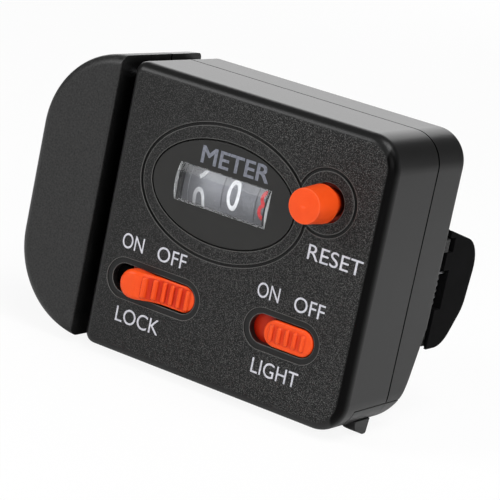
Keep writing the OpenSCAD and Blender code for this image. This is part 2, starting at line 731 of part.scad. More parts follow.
// Counter frame: two side plates under a top bridge, held by the upper case screws
module left_plate_area() difference() {
  union() {
    area(frame_front, counter_y + 9.5, pinion_axis[1] - 2.6, frame_top);
    area(lamp_y - lamp_r - 0.9, frame_front, lamp_z - lamp_r - 0.9, lamp_z + lamp_r + 0.9);
  }
  translate(counter_axis) circle(shaft_d / 2 + press);
  translate(pinion_axis) circle(0.75 + press);
  translate([reset_y, reset_z]) circle(reset_r + bearing);
  translate([lamp_y, lamp_z]) circle(lamp_r + press);
}
module right_plate_area() difference() {
  area(frame_front, frame_back, slider_z - bush_r - 0.5, frame_top);
  translate(counter_axis) circle(shaft_d / 2 + press);
  translate(gear_axis) circle(shaft_d / 2 + press);
  translate(wheel_axis) circle(bush_r + press);
  translate([reset_y, reset_z]) circle(reset_r + bearing);
}
module bracket_area() difference() {
  union() {
    area(counter_y + drum_d / 2 + 0.6, counter_y + drum_d / 2 + 2.4, pinion_axis[1] - 1.7, frame_top);
    area(pinion_axis[0] - 1.7, counter_y + drum_d / 2 + 2.4, pinion_axis[1] - 1.7, pinion_axis[1] + 1.7);
  }
  translate(counter_axis) circle(drum_d / 2 + 0.4);
  translate(pinion_axis) circle(0.75 + press);
}
module counter_frame() color([0.85, 0.85, 0.82]) at_rod() difference() {
  union() {
    along_x(left_plate_x, left_plate_x + plate_t) left_plate_area();
    along_x(right_plate_x, right_plate_x + plate_t) right_plate_area();
    along_x(bracket_x, bracket_x + plate_t) bracket_area();
    box(left_screw_x - 2.5, right_screw_x + 2.5, frame_front + 2, front_depth, frame_top - bridge_t, frame_top);
    box(bracket_x, bracket_x + plate_t, front_depth - 1, counter_y + drum_d / 2 + 2.4, frame_top - bridge_t, frame_top);
    for (x = [left_screw_x, right_screw_x])
      box(x - 2.5, x + 2.5, front_depth - tab_t, front_depth, high_screw_z - 2.5, frame_top);
    box(right_plate_x, button_x + 5, stem_plate_y, stem_plate_y + stem_plate_t, button_z - 5, button_z + 5);
  }
  for (x = [left_screw_x, right_screw_x]) bar_y(x, high_screw_z, screw_r, 0, front_depth + 1);
  bar_y(button_x, button_z, stem_r + run, 0, front_depth);
  bar_x(counter_axis, shaft_d / 2 + press, right_plate_x - 1, right_plate_x + plate_t + 1);
}
module counter_shaft() color([0.7, 0.71, 0.73]) at_rod()
  bar_x(counter_axis, shaft_d / 2, left_plate_x, right_plate_x + plate_t);

// Digit wheels: hollow rim, web, hub, heart cam with its carry finger, and a side gear
module drum(x) {
  left = x - drum_w / 2;
  right = x + drum_w / 2;
  difference() {
    bar_x(counter_axis, drum_d / 2, left, right);
    bar_x(counter_axis, drum_d / 2 - drum_rim, left - 1, x - drum_web / 2);
    bar_x(counter_axis, drum_d / 2 - drum_rim, x + drum_web / 2, right + 1);
  }
  bar_x(counter_axis, hub_r, left - heart_w, right);
  along_x(left - heart_w, left) translate(counter_axis) union() {
    polygon(heart_outline(hammer_dir));
    rotate(mesh_3 - 36) area(0, carry_finger_r, -0.7, 0.7);
  }
}
module drum_bore(x) bar_x(counter_axis, shaft_d / 2 + bearing, x - drum_pitch, x + drum_pitch);
module side_gear(x) along_x(x + drum_w / 2, x + drum_w / 2 + side_gear_w)
  translate(counter_axis) polygon(gear_outline(carry_teeth, module_3, mesh_3));
module tens_wheel() color([0.93, 0.93, 0.92]) at_rod() difference() {
  union() {
    drum(tens_x);
    side_gear(tens_x);
  }
  drum_bore(tens_x);
}
module units_wheel() color([0.93, 0.93, 0.92]) at_rod() difference() {
  union() {
    drum(units_x);
    side_gear(units_x);
  }
  drum_bore(units_x);
}
module tenths_wheel() color([0.93, 0.93, 0.92]) at_rod() difference() {
  union() {
    drum(tenths_x);
    bar_x(counter_axis, hub_r, tenths_x, gear_2_x);
    along_x(gear_2_x, gear_2_x + gear_2_w) translate(counter_axis)
      polygon(gear_outline(gear_2_teeth, module_2, mesh_2 + 180 + 180 / gear_2_teeth));
  }
  drum_bore(tenths_x);
}

// Carry pinions between the digit wheels, on their own shaft
module carry_pinion(x) difference() {
  along_x(x - drum_pitch + drum_w / 2 + 0.1, x - drum_w / 2 - 0.1) translate(pinion_axis)
    polygon(gear_outline(carry_pinion_teeth, module_3, mesh_3 + 180 + 180 / carry_pinion_teeth));
  bar_x(pinion_axis, 0.75 + bearing, x - drum_pitch, x);
}
module carry_pinion_a() color([0.9, 0.78, 0.4]) at_rod() carry_pinion(units_x);
module carry_pinion_b() color([0.9, 0.78, 0.4]) at_rod() carry_pinion(tenths_x);
module pinion_shaft() color([0.7, 0.71, 0.73]) at_rod()
  bar_x(pinion_axis, 0.75, left_plate_x, bracket_x + plate_t);

// Reduction gear between the wheel's pinion and the tenths wheel, on a pin in the right plate
module reduction_gear() color([0.9, 0.88, 0.8]) at_rod() difference() {
  union() {
    along_x(gear_1_x, gear_1_x + gear_1_w) translate(gear_axis)
      polygon(gear_outline(gear_1_teeth, module_1, mesh_1 + 180 + 180 / gear_1_teeth));
    along_x(gear_2_x - 0.1, gear_1_x) translate(gear_axis)
      polygon(gear_outline(pinion_teeth, module_2, mesh_2));
    bar_x(gear_axis, hub_r, gear_1_x, right_plate_x - 0.2);
  }
  bar_x(gear_axis, shaft_d / 2 + bearing, gear_2_x - 1, right_plate_x);
  for (a = [0:60:300]) bar_x(gear_axis + polar(6, a), 2, gear_1_x - 0.1, gear_1_x + gear_1_w + 1);
}
module gear_pin() color([0.7, 0.71, 0.73]) at_rod()
  bar_x(gear_axis, shaft_d / 2, gear_2_x - 0.4, right_plate_x + plate_t);

// Reset button, its spring and the bar that it swings
module reset_button() color([1, 0.4, 0.18]) at_rod() {
  dome_r = 22;
  edge = 0.6;
  low = flange_y + cap_gap;
  high = flange_y + button_out;
  tip_r = button_d / 2 - button_taper;
  translate([button_x, flange_y, button_z]) rotate([90, 0, 0]) rotate_extrude() intersection() {
    union() {
      area(0, neck_d / 2, 0, low + 1);
      polygon([[0, low], [button_d / 2 - 0.3, low], [button_d / 2, low + 0.3], [tip_r, high - edge], [tip_r - edge, high], [0, high]]);
      translate([tip_r - edge, high - edge]) circle(edge);
    }
    translate([0, high - dome_r]) circle(dome_r);
    area(0, button_d, 0, high + 1);
  }
  bar_y(button_x, button_z, button_d / 2 + 1.2, flange_y, flange_y + flange_t);
  bar_y(button_x, button_z, stem_r, flange_y, stem_end);
}
module reset_spring() color([0.6, 0.61, 0.63]) at_rod() {
  thick = 0.6;
  free = stem_plate_y - flange_y - flange_t - 0.1;
  turns = 5;
  pts = coil(stem_r + 0.9, (free - thick) / turns, turns, 0);
  echo("reset spring least gap", least_gap(pts, thick));
  translate([button_x, stem_plate_y - 0.05 - thick / 2, button_z]) rotate([90, 0, 0]) wire(pts, [0, 0, 1], thick / 2);
}
module hammer(x) {
  tip = counter_axis + polar(hammer_stop, hammer_dir) - [reset_y, reset_z];
  rest = [tip[0] * cos(reset_angle) + tip[1] * sin(reset_angle), tip[1] * cos(reset_angle) - tip[0] * sin(reset_angle)];
  along_x(x, x + hammer_w) translate([reset_y, reset_z]) rotate(atan2(rest[1], rest[0])) area(0, norm(rest), -1, 1);
}
module reset_bar() color([0.75, 0.76, 0.78]) at_rod() {
  bar_x([reset_y, reset_z], reset_r, left_plate_x + 0.2, button_x + 2);
  for (x = [tens_x, units_x, tenths_x]) hammer(x - drum_w / 2 - heart_w / 2 - hammer_w / 2);
  along_x(button_x - 1.6, button_x + 1.6) union() {
    area(reset_y - 0.8, reset_y + 0.8, button_z - 1.5, reset_z);
    area(bump_y, reset_y, button_z - 0.6, button_z + 0.6);
    translate([bump_y, button_z]) circle(bump_r);
  }
}

// Line wheel in the gap: spoked hub, rubber tyre, shaft, pinion and bushes
module line_wheel() color([0.3, 0.3, 0.32]) at_rod() difference() {
  bar_x(wheel_axis, tyre_d / 2 - tyre_t, wheel_x - wheel_w / 2, wheel_x + wheel_w / 2);
  bar_x(wheel_axis, shaft_d / 2, wheel_x - wheel_w, wheel_x + wheel_w);
  for (a = [0:72:288]) bar_x(wheel_axis + polar(4.2, a), 1.5, wheel_x - wheel_w, wheel_x + wheel_w);
}
module wheel_tyre() color([0.08, 0.08, 0.08]) at_rod() translate([wheel_x, wheel_axis[0], wheel_axis[1]]) rotate([0, 90, 0])
  rotate_extrude() polygon([[tyre_d / 2 - tyre_t, -wheel_w / 2], [tyre_d / 2 - 0.2, -wheel_w / 2], [tyre_d / 2, -wheel_w / 2 + 0.2],
    [tyre_d / 2, -0.6], [tyre_d / 2 - tyre_groove, 0], [tyre_d / 2, 0.6], [tyre_d / 2, wheel_w / 2 - 0.2],
    [tyre_d / 2 - 0.2, wheel_w / 2], [tyre_d / 2 - tyre_t, wheel_w / 2]]);
module wheel_shaft() color([0.7, 0.71, 0.73]) at_rod() bar_x(wheel_axis, shaft_d / 2, shaft_start, shaft_end);
module drive_pinion() color([0.9, 0.78, 0.4]) at_rod() difference() {
  along_x(gear_1_x - 0.2, gear_1_x + gear_1_w + 0.2) translate(wheel_axis)
    polygon(gear_outline(pinion_teeth, module_1, mesh_1));
  bar_x(wheel_axis, shaft_d / 2, gear_1_x - 1, gear_1_x + gear_1_w + 1);
}
module bush(x0, x1, flange_x) difference() {
  union() {
    bar_x(wheel_axis, bush_r, x0, x1);
    bar_x(wheel_axis, bush_r + 0.8, flange_x, flange_x + bush_flange);
  }
  bar_x(wheel_axis, shaft_d / 2 + bearing, x0 - 2, x1 + 2);
}
module shaft_bushes() color([0.8, 0.65, 0.3]) at_rod() {
  bush(-gap_w - wall, -gap_w, -gap_w - wall - bush_flange);
  bush(0, wall, wall);
  bush(right_plate_x, right_plate_x + plate_t, right_plate_x + plate_t);
}
module guide_pins() color([0.7, 0.71, 0.73]) at_rod()
  for (z = [guide_pin_z, body_h - guide_pin_z]) bar_x([guide_pin_y, z], guide_pin_d / 2, -gap_w - wall, wall);

// Lock slider: thumb pad with a nose and a ribbed scoop, arm, pin and pinch roller
function scoop_y(x) = scoop_low - scoop_r + sqrt(max(0, pow(scoop_r, 2) - pow(min(0, x - scoop_x), 2)));
module lock_slider() color([1, 0.4, 0.18]) at_rod() {
  intersection() {
    slab(-nose_out - 1, base_y) stadium(lock_pad_x, lock_pad_end, slider_z, pad_h);
    along_z(slider_z - pad_h, slider_z + pad_h) difference() {
      union() {
        area(lock_pad_x + nose_r, lock_pad_end, -nose_out, base_y);
        area(lock_pad_x, lock_pad_end, -nose_out + nose_r, base_y);
        translate([lock_pad_x + nose_r, -nose_out + nose_r]) circle(nose_r);
      }
      translate([scoop_x, scoop_low - scoop_r]) circle(scoop_r);
      area(scoop_x, lock_pad_end + 1, -nose_out - 1, scoop_low);
    }
  }
  for (i = [0:6]) {
    x = lock_pad_end - 1.8 - i * rib_pitch;
    bar_z(x, max(scoop_y(x), -nose_out) + 0.5 - rib_h, 0.5, slider_z - rib_l, slider_z + rib_l);
  }
  box(lock_pad_x, lock_slot_end + lock_travel + base_lap, base_y, base_y + base_t,
    slider_z - slot_h / 2 - base_lap, slider_z + slot_h / 2 + base_lap);
}
module lock_arm() color([0.1, 0.1, 0.1]) at_rod() difference() {
  union() {
    box(arm_x, lock_pad_x, roller_y - arm_t / 2, roller_y + arm_t / 2, slider_z - arm_h / 2, slider_z + arm_h / 2);
    box(arm_x, arm_end, base_y + base_t, base_y + base_t + 1.4, slider_z - arm_h / 2, slider_z + arm_h / 2);
  }
  bar_x([roller_y, slider_z], 0.5 + press, arm_x - 1, lock_pad_x - 1 + press);
}
module roller_pin() color([0.7, 0.71, 0.73]) at_rod() bar_x([roller_y, slider_z], 0.5, roller_x, lock_pad_x - 1);
module pinch_roller() color([0.9, 0.9, 0.88]) at_rod() difference() {
  bar_x([roller_y, slider_z], roller_d / 2, roller_x, roller_x + roller_l);
  bar_x([roller_y, slider_z], 0.5 + bearing, roller_x - 1, roller_x + roller_l + 1);
}

// Light slider with its bridge, and the blades that it joins
module light_slider() color([1, 0.4, 0.18]) at_rod() {
  slab(-light_pad_out, base_y) stadium(light_pad_x, light_pad_end, slider_z, pad_h);
  for (i = [0:4]) {
    x = (light_pad_x + light_pad_end) / 2 + (i - 2) * light_rib_pitch;
    bar_z(x, 0.5 - rib_h - light_pad_out, 0.5, slider_z - light_rib_l, slider_z + light_rib_l);
  }
  box(light_slot_x - base_lap, light_slot_end + light_travel + 0.6, base_y, base_y + base_t,
    slider_z - slot_h / 2 - base_lap, slider_z + slot_h / 2 + base_lap);
}
module switch_bridge() color([0.8, 0.65, 0.3]) at_rod()
  box(bridge_x, bridge_x + 7, bridge_y, bridge_y + 0.3, slider_z - 1.5, slider_z + 1.5);
module blade(x) {
  box(x, x + 2, face_wall, bridge_y + 0.8, blade_z, blade_z + 0.5);
  box(x, x + 2, bridge_y + 0.5, bridge_y + 0.8, slider_z - 1, blade_z + 0.5);
}
module switch_blades() color([0.8, 0.65, 0.3]) at_rod() {
  blade(light_slot_x + 2.8);
  blade(light_slot_x + 7.3);
}

// Lamp beside the digit wheels and the strips that feed it
module lamp() color([0.95, 0.95, 0.9]) at_rod() {
  bar_x([lamp_y, lamp_z], lamp_r, left_plate_x - 2.4, left_plate_x + plate_t);
  translate([left_plate_x + plate_t, lamp_y, lamp_z]) sphere(lamp_r);
  bar_x([lamp_y, lamp_z], lamp_r + 0.4, left_plate_x - 3, left_plate_x - 2.4);
  box(leg_x, left_plate_x - 3, lamp_y - 0.25, lamp_y + 0.25, lamp_z - 0.85, lamp_z - 0.35);
  box(leg_x - strip_space, left_plate_x - 3, lamp_y - 0.25, lamp_y + 0.25, lamp_z + 0.35, lamp_z + 0.85);
}
module lamp_strip(x, z, z1, x1) {
  box(x, x + strip_w, face_wall, face_wall + strip_t, z, z1);
  box(x, x1, face_wall, face_wall + strip_t, z, z + strip_w);
  box(x, x + strip_t, face_wall, lamp_y + 0.25, z1 - 0.5, z1);
}
module lamp_strips() color([0.8, 0.65, 0.3]) at_rod() {
  lamp_strip(leg_x - strip_t - strip_space, blade_z + 0.5, lamp_z + 0.85, light_slot_x + 4.8);
  lamp_strip(leg_x - strip_t, blade_z + 2.2, lamp_z - 0.35, light_slot_x + 9.3);
  box(light_slot_x + 8.3, light_slot_x + 9.3, face_wall, face_wall + strip_t, blade_z + 0.5, blade_z + 2.2);
}

// Three button cells over the door, and a contact at each end
module button_cells() color([0.8, 0.81, 0.83]) at_rod() for (i = [0:cells - 1]) {
  x = cell_x + i * cell_t;
  bar_x([cell_y, cell_z], cell_d / 2, x, x + cell_t - 0.8);
  bar_x([cell_y, cell_z], cell_d / 2 - 1.4, x + cell_t - 0.8, x + cell_t - seat);
}
module cell_contacts() color([0.8, 0.65, 0.3]) at_rod()
  for (x = [cell_x - contact_t, cell_x + cells * cell_t])
    box(x, x + contact_t, cell_y - 3, cell_y + 3, door_h + 0.6, cell_z + 3);

// Rod clip: fixed saddle with a rubber pad, and a hinged D-shaped claw
module rod_circle(r) translate([rod_x, rod_y]) circle(r);
module clip_saddle() color([0.08, 0.08, 0.09]) at_rod() difference() {
  union() {
    along_z(clip_z - saddle_h / 2, clip_z + saddle_h / 2) union() {
      area(saddle_x, saddle_end, body_depth, body_depth + saddle_base);
      difference() {
        intersection() {
          area(saddle_x, rod_x - 1.4, body_depth, rod_y + rod_r + pad_t);
          union() {
            rod_circle(rod_r + pad_t + 5);
            area(saddle_x, rod_x, body_depth, rod_y);
          }
        }
        rod_circle(rod_r + pad_t);
      }
    }
  }
  along_z(clip_z - saddle_h, clip_z + saddle_h) rod_circle(rod_r + pad_t);
  for (z = [clip_z - clip_screw_z, clip_z + clip_screw_z]) bar_y(clip_screw_x, z, screw_r, 0, body_depth + 3.4);
}
module saddle_pad() color([0.2, 0.2, 0.2]) at_rod() along_z(clip_z - saddle_h / 2, clip_z + saddle_h / 2) intersection() {
  difference() {
    rod_circle(rod_r + pad_t - seat);
    rod_circle(rod_r);
  }
  area(saddle_x, rod_x - 1.4, body_depth + saddle_base, rod_y + rod_r + pad_t);
}
module clip_screws() color([0.55, 0.56, 0.58]) at_rod()
  for (z = [clip_z - clip_screw_z, clip_z + clip_screw_z]) {
    bar_y(clip_screw_x, z, screw_r, inner_depth, body_depth + 3.2);
    bar_y(clip_screw_x, z, head_r, inner_depth - head_t, inner_depth);
  }
module claw_d() {
  rear = body_depth + claw_reach;
  polygon(rounded([[hinge_y, claw_bottom], [rear - 7.7, claw_bottom], [rear - 1.6, claw_bottom + claw_bend],
    [rear, claw_top - claw_fall], [hinge_y, claw_top]], [0, claw_round, claw_round, claw_round, 0]));
}
module knuckle(z0, z1) bar_z(hinge_x, hinge_y, knuckle_r, z0, z1);
module clip_claw() color([0.06, 0.06, 0.07]) at_rod() difference() {
  union() {
    along_x(claw_x, claw_x + claw_t) claw_d();
    intersection() {
      along_x(rod_x + rod_r + 0.5, claw_x + 0.5) claw_d();
      box(rod_x, claw_x + 0.5, rod_y + rod_r - 1.4, body_depth + claw_reach - 0.8, claw_bottom, claw_top);
    }
    knuckle(ear_low_z + ear_h + ear_gap, spring_low);
    knuckle(spring_high, ear_top_z - ear_gap);
    knuckle(ear_top_z + ear_h + ear_gap, claw_top - 0.2);
  }
  bar_z(hinge_x, hinge_y, hinge_d / 2 + bearing, claw_bottom - 1, claw_top + 1);
  bar_z(hinge_x, hinge_y, knuckle_r + 0.3, claw_bottom - 1, ear_low_z + ear_h + ear_gap);
  box(claw_x - 1, claw_x + claw_t + 1, hinge_y - knuckle_r - 1, hinge_y + knuckle_r + 0.4,
    ear_top_z - ear_gap, ear_top_z + ear_h + ear_gap);
  box(claw_x - 1, claw_x + claw_t + 1, hinge_y - knuckle_r - 1, hinge_y + knuckle_r + 0.4, spring_low, spring_high);
  bar_y(hinge_x + spring_r, spring_z + spring_l, clip_wire / 2 + 0.15, hinge_y + knuckle_r, hinge_y + spring_leg + 0.2);
}
module claw_pad() color([0.2, 0.2, 0.2]) at_rod() along_z(clip_z - claw_pad_h / 2, clip_z + claw_pad_h / 2) difference() {
  area(rod_x + 4.6, claw_x - seat, hinge_y + knuckle_r + 0.4, rod_y + rod_r - 1.4 - seat);
  rod_circle(rod_r);
}
module clip_pin() color([0.7, 0.71, 0.73]) at_rod() bar_z(hinge_x, hinge_y, hinge_d / 2, ear_low_z, ear_top_z + ear_h);
module clip_spring() color([0.6, 0.61, 0.63]) at_rod() {
  turn = coil(spring_r, spring_pitch, spring_turns, -90);
  last = turn[len(turn) - 1];
  brace = hinge_x - saddle_end - 0.4;
  pts = concat([[-brace, -spring_r, 0], [-brace / 2, -spring_r, 0]], turn,
    [[last[0], spring_leg / 2, last[2]], [last[0], spring_leg, last[2]]]);
  echo("clip spring least gap", least_gap(turn, clip_wire));
  translate([hinge_x, hinge_y, spring_z]) wire(pts, [0, 0, 1], clip_wire / 2);
}

front_shell();
rear_cover();
line_guide();
case_screws();
window_bezel();
lens();
battery_door();
counter_frame();
counter_shaft();
tens_wheel();
units_wheel();
tenths_wheel();
pinion_shaft();
carry_pinion_a();
carry_pinion_b();
reduction_gear();
gear_pin();
reset_button();
reset_spring();
reset_bar();
line_wheel();
wheel_tyre();
wheel_shaft();
drive_pinion();
shaft_bushes();
guide_pins();
lock_slider();
lock_arm();
roller_pin();
pinch_roller();
light_slider();
switch_bridge();
switch_blades();
lamp();
lamp_strips();
button_cells();
cell_contacts();
clip_saddle();
saddle_pad();
clip_screws();
clip_claw();
claw_pad();
clip_pin();
clip_spring();
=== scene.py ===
import math

import bmesh
import bpy
import numpy as np
from mathutils import Matrix, Vector


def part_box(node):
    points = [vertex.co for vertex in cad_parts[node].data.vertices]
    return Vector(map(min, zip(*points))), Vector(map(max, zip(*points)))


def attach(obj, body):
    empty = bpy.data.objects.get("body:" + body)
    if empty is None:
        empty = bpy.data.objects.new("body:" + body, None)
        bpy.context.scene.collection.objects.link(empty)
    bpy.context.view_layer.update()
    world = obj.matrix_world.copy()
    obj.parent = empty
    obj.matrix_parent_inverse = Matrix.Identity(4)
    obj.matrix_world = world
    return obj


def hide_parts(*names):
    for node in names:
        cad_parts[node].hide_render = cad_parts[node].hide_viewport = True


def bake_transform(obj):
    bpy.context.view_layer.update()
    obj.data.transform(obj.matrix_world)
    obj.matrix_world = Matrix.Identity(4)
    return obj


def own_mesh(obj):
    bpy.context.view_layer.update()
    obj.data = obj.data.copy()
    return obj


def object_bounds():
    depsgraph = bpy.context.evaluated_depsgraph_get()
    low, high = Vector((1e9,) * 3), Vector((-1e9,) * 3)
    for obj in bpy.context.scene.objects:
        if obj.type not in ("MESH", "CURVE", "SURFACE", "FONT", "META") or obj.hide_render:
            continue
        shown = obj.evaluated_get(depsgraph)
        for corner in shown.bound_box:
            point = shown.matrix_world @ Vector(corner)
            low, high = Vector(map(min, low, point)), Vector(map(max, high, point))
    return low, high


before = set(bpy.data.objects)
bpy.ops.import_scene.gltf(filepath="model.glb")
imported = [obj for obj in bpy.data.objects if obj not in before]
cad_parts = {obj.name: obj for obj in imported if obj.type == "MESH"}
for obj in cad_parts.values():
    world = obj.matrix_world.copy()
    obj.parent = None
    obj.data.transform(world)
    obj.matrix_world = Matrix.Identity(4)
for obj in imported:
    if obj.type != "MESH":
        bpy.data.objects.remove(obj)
cad_box = [list(corner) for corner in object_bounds()]

# Case: front shell, rear cover and battery door.
# Injection-moulded black ABS. Front and back faces are spark-textured in the mould, the walls
# are finer, and the sunk rims, grooves and seams are smooth. Screwed together from behind.
MM = 0.001  # sizes here are in millimetres, and places are measured from the shell's low corner
X, Y, Z = range(3)
FACE_FADE = (0.14, 0.03)
BACK_FADE = (29.6, 29.72)
HANDLED_X = (4.0, 42.0)
GRAIN_W, GRIT_W, RELIEF_H = 0.19, 0.22, 0.1
SOFT_EDGE_R = 0.3
GROOVE_SHADE_REACH = 0.7
EDGE_LIGHT_REACH, EDGE_LIGHT_DEPTH = 0.3, 0.6
PARTING_Y, SEAM_HALF = 18.12, 0.34
DOOR_TOP_Z, DOOR_LINE_HALF = 5.2, 0.204
DOOR_FRONT_Y, DOOR_LEFT_X = 5.4, 36.0
RIGHT_SHADE_X, RIGHT_SHADE_Y = (62.9, 63.3), (2.4, 0.9)
# The near-black here colours dark joint lines and also painted shade.
WHITE, BLACK, SEAM_AND_SHADE_BLACK = (1, 1, 1, 1), (0, 0, 0, 1), (0.02, 0.02, 0.02, 1)
case_low = np.array(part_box("front_shell")[0])


def on_case(x, y, z):
    """Scene point of a place on the case: millimetres from the gap side, front face and bottom."""
    return case_low + np.array([x, y, z]) * MM


def level(axis, millimetres):
    """Scene coordinate of a level on the case: millimetres along one axis from its low corner."""
    return case_low[axis] + millimetres * MM


def linear(hex_colour):
    """Linear colour of an sRGB hex value: the usual sRGB curve, channel by channel."""
    c = np.array([int(hex_colour[i:i + 2], 16) for i in (0, 2, 4)]) / 255
    c = np.where(c <= 0.04045, c / 12.92, ((c + 0.055) / 1.055) ** 2.4)
    return (*c, 1.0)


def add(tree, kind, links=(), stops=(), **settings):
    """Adds a shader node. Settings are its properties or named sockets; links give sockets a node, an
    output or a plain value; stops are a colour ramp's places and colours, first to last."""
    node = tree.nodes.new("ShaderNode" + kind)
    for name, value in settings.items():
        if hasattr(node, name):
            setattr(node, name, value)
        else:
            node.inputs[name.replace("_", " ")].default_value = value
    for socket, source in dict(links).items():
        source = source.outputs[0] if isinstance(source, bpy.types.Node) else source
        if isinstance(source, bpy.types.NodeSocket):
            tree.links.new(source, node.inputs[socket])
        else:
            node.inputs[socket].default_value = source
    if stops:
        ramp = node.color_ramp.elements
        (ramp[0].position, ramp[0].color), (ramp[1].position, ramp[1].color) = stops[0], stops[-1]
        for position, colour in stops[1:-1]:
            ramp.new(position).color = colour
    return node


def new_material(name, roughness, ior=1.5, metallic=0.0, specular=0.5):
    """An empty material with its Principled shader's constant sockets set."""
    material = bpy.data.materials.new(name)
    material.use_nodes = True
    shader = material.node_tree.nodes["Principled BSDF"]
    shader.inputs["Roughness"].default_value = roughness
    shader.inputs["IOR"].default_value = ior
    shader.inputs["Metallic"].default_value = metallic
    shader.inputs["Specular IOR Level"].default_value = specular
    return material, material.node_tree, shader


def feed(shader, **sources):
    """Links nodes to the shader's sockets, whose names are written with underscores."""
    for name, node in sources.items():
        shader.id_data.links.new(node.outputs[0], shader.inputs[name.replace("_", " ")])


def dress(material, *names):
    """Gives carried-over CAD nodes their finish."""
    for name in names:
        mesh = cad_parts[name].data
        mesh.materials.clear()
        mesh.materials.append(material)


# Black ABS: the faces' grain, about 0.2 mm wide, is drawn just coarse enough to show, and is faint on the
# smooth walls. The grains glint and shade by turns, and thumbs have smoothed the gap's side.
abs_black, tree, shader = new_material("abs_black_spark_textured", roughness=0.42, ior=1.53, specular=0.25)
place = add(tree, "TexCoord").outputs["Object"]
across, depth, height = add(tree, "SeparateXYZ", {0: place}).outputs
on_face = add(tree, "MapRange", {0: depth}, From_Min=level(Y, FACE_FADE[0]), From_Max=level(Y, FACE_FADE[1]))
on_back = add(tree, "MapRange", {0: depth}, From_Min=level(Y, BACK_FADE[0]), From_Max=level(Y, BACK_FADE[1]))
on_skin = add(tree, "Math", {0: on_face, 1: on_back}, operation="MAXIMUM")
handled = add(tree, "MapRange", {0: across}, From_Min=level(X, HANDLED_X[0]), From_Max=level(X, HANDLED_X[1]),
              To_Min=0.45)
crisp = add(tree, "Math", {0: on_skin, 1: handled}, operation="MULTIPLY")
grain = add(tree, "TexNoise", {"Vector": place}, Scale=1 / (GRAIN_W * MM), Detail=0.0)
grit = add(tree, "TexVoronoi", {"Vector": place}, Scale=1 / (GRIT_W * MM))
relief = add(tree, "Math", {0: grain, 1: grit}, operation="SUBTRACT")
strength = add(tree, "MapRange", {0: crisp}, To_Min=0.06, To_Max=0.95)
soft_edge = add(tree, "Bevel", samples=8, Radius=SOFT_EDGE_R * MM)
bump = add(tree, "Bump", {"Height": relief, "Strength": strength, "Normal": soft_edge}, Distance=RELIEF_H * MM)
rough_shade = add(tree, "ValToRGB", {0: relief}, stops=((0.02, linear("050505")), (0.42, linear("575756"))))
smooth_shade = add(tree, "ValToRGB", {0: grain}, stops=((0.36, linear("121212")), (0.66, linear("181818"))))
tint = add(tree, "MixRGB", {0: crisp, 1: smooth_shade, 2: rough_shade})

# Painted highlight: the front's convex edges are painted grey where light catches them. Painted shade darkens
# the grooves.
# The line between the two halves and the door's top line are dark joints, and the rounded right-hand edge gets
# painted shade.
body = add(tree, "AmbientOcclusion", samples=8, inside=True, Distance=EDGE_LIGHT_REACH * MM).outputs["AO"]
edge_highlight_paint = add(tree, "ValToRGB", {0: body}, stops=((0.5, WHITE), (0.85, BLACK)))
in_front = add(tree, "Math", {0: depth, 1: level(Y, EDGE_LIGHT_DEPTH)}, operation="LESS_THAN")
front_edge_highlight = add(tree, "Math", {0: edge_highlight_paint, 1: in_front}, operation="MULTIPLY")
edge_highlighted = add(tree, "MixRGB", {0: front_edge_highlight, 1: tint, 2: linear("686866")})
# Painted shade: ambient occlusion darkens grooves and recesses to near-black.
sky = add(tree, "AmbientOcclusion", samples=6, Distance=GROOVE_SHADE_REACH * MM).outputs["AO"]
groove_dirt = add(tree, "ValToRGB", {0: sky}, stops=((0.34, SEAM_AND_SHADE_BLACK), (0.62, WHITE)))
halves = add(tree, "Math", {0: depth, 1: level(Y, PARTING_Y), 2: SEAM_HALF * MM}, operation="COMPARE")
door_top = add(tree, "Math", {0: height, 1: level(Z, DOOR_TOP_Z), 2: DOOR_LINE_HALF * MM}, operation="COMPARE")
past_door = add(tree, "Math", {0: depth, 1: level(Y, DOOR_FRONT_Y)}, operation="GREATER_THAN")
over_door = add(tree, "Math", {0: across, 1: level(X, DOOR_LEFT_X)}, operation="GREATER_THAN")
door_corner = add(tree, "Math", {0: past_door, 1: over_door}, operation="MULTIPLY")
door_line = add(tree, "Math", {0: door_top, 1: door_corner}, operation="MULTIPLY")
joint_line = add(tree, "Math", {0: halves, 1: door_line}, operation="MAXIMUM")
seams_and_groove_shade = add(tree, "MixRGB", {0: joint_line, 1: groove_dirt, 2: SEAM_AND_SHADE_BLACK})
# Painted shade: off the face, the rounded right-hand edge is darkened in colour and in its reflections.
at_right = add(tree, "MapRange", {0: across}, From_Min=level(X, RIGHT_SHADE_X[0]), From_Max=level(X, RIGHT_SHADE_X[1]))
rounding = add(tree, "MapRange", {0: depth}, From_Min=level(Y, RIGHT_SHADE_Y[0]), From_Max=level(Y, RIGHT_SHADE_Y[1]),
               To_Max=0.85)
right_edge = add(tree, "Math", {0: at_right, 1: rounding}, operation="MULTIPLY")
off_face = add(tree, "Math", {0: 1.0, 1: on_face}, operation="SUBTRACT")
right_rounding_shade = add(tree, "Math", {0: right_edge, 1: off_face}, operation="MULTIPLY")
dark = add(tree, "MixRGB", {0: right_rounding_shade, 1: seams_and_groove_shade, 2: SEAM_AND_SHADE_BLACK})
# Painted highlight and painted shade, with the dark joint lines, are multiplied into the grain's colour.
tint_seams_painted_light = add(tree, "MixRGB", {1: edge_highlighted, 2: dark}, blend_type="MULTIPLY", Fac=1.0)
gloss = add(tree, "MapRange", {0: on_skin}, To_Min=0.34, To_Max=0.5)
feed(shader, Base_Color=tint_seams_painted_light, Specular_Tint=dark, Roughness=gloss, Normal=bump)
dress(abs_black, "front_shell", "rear_cover", "battery_door")

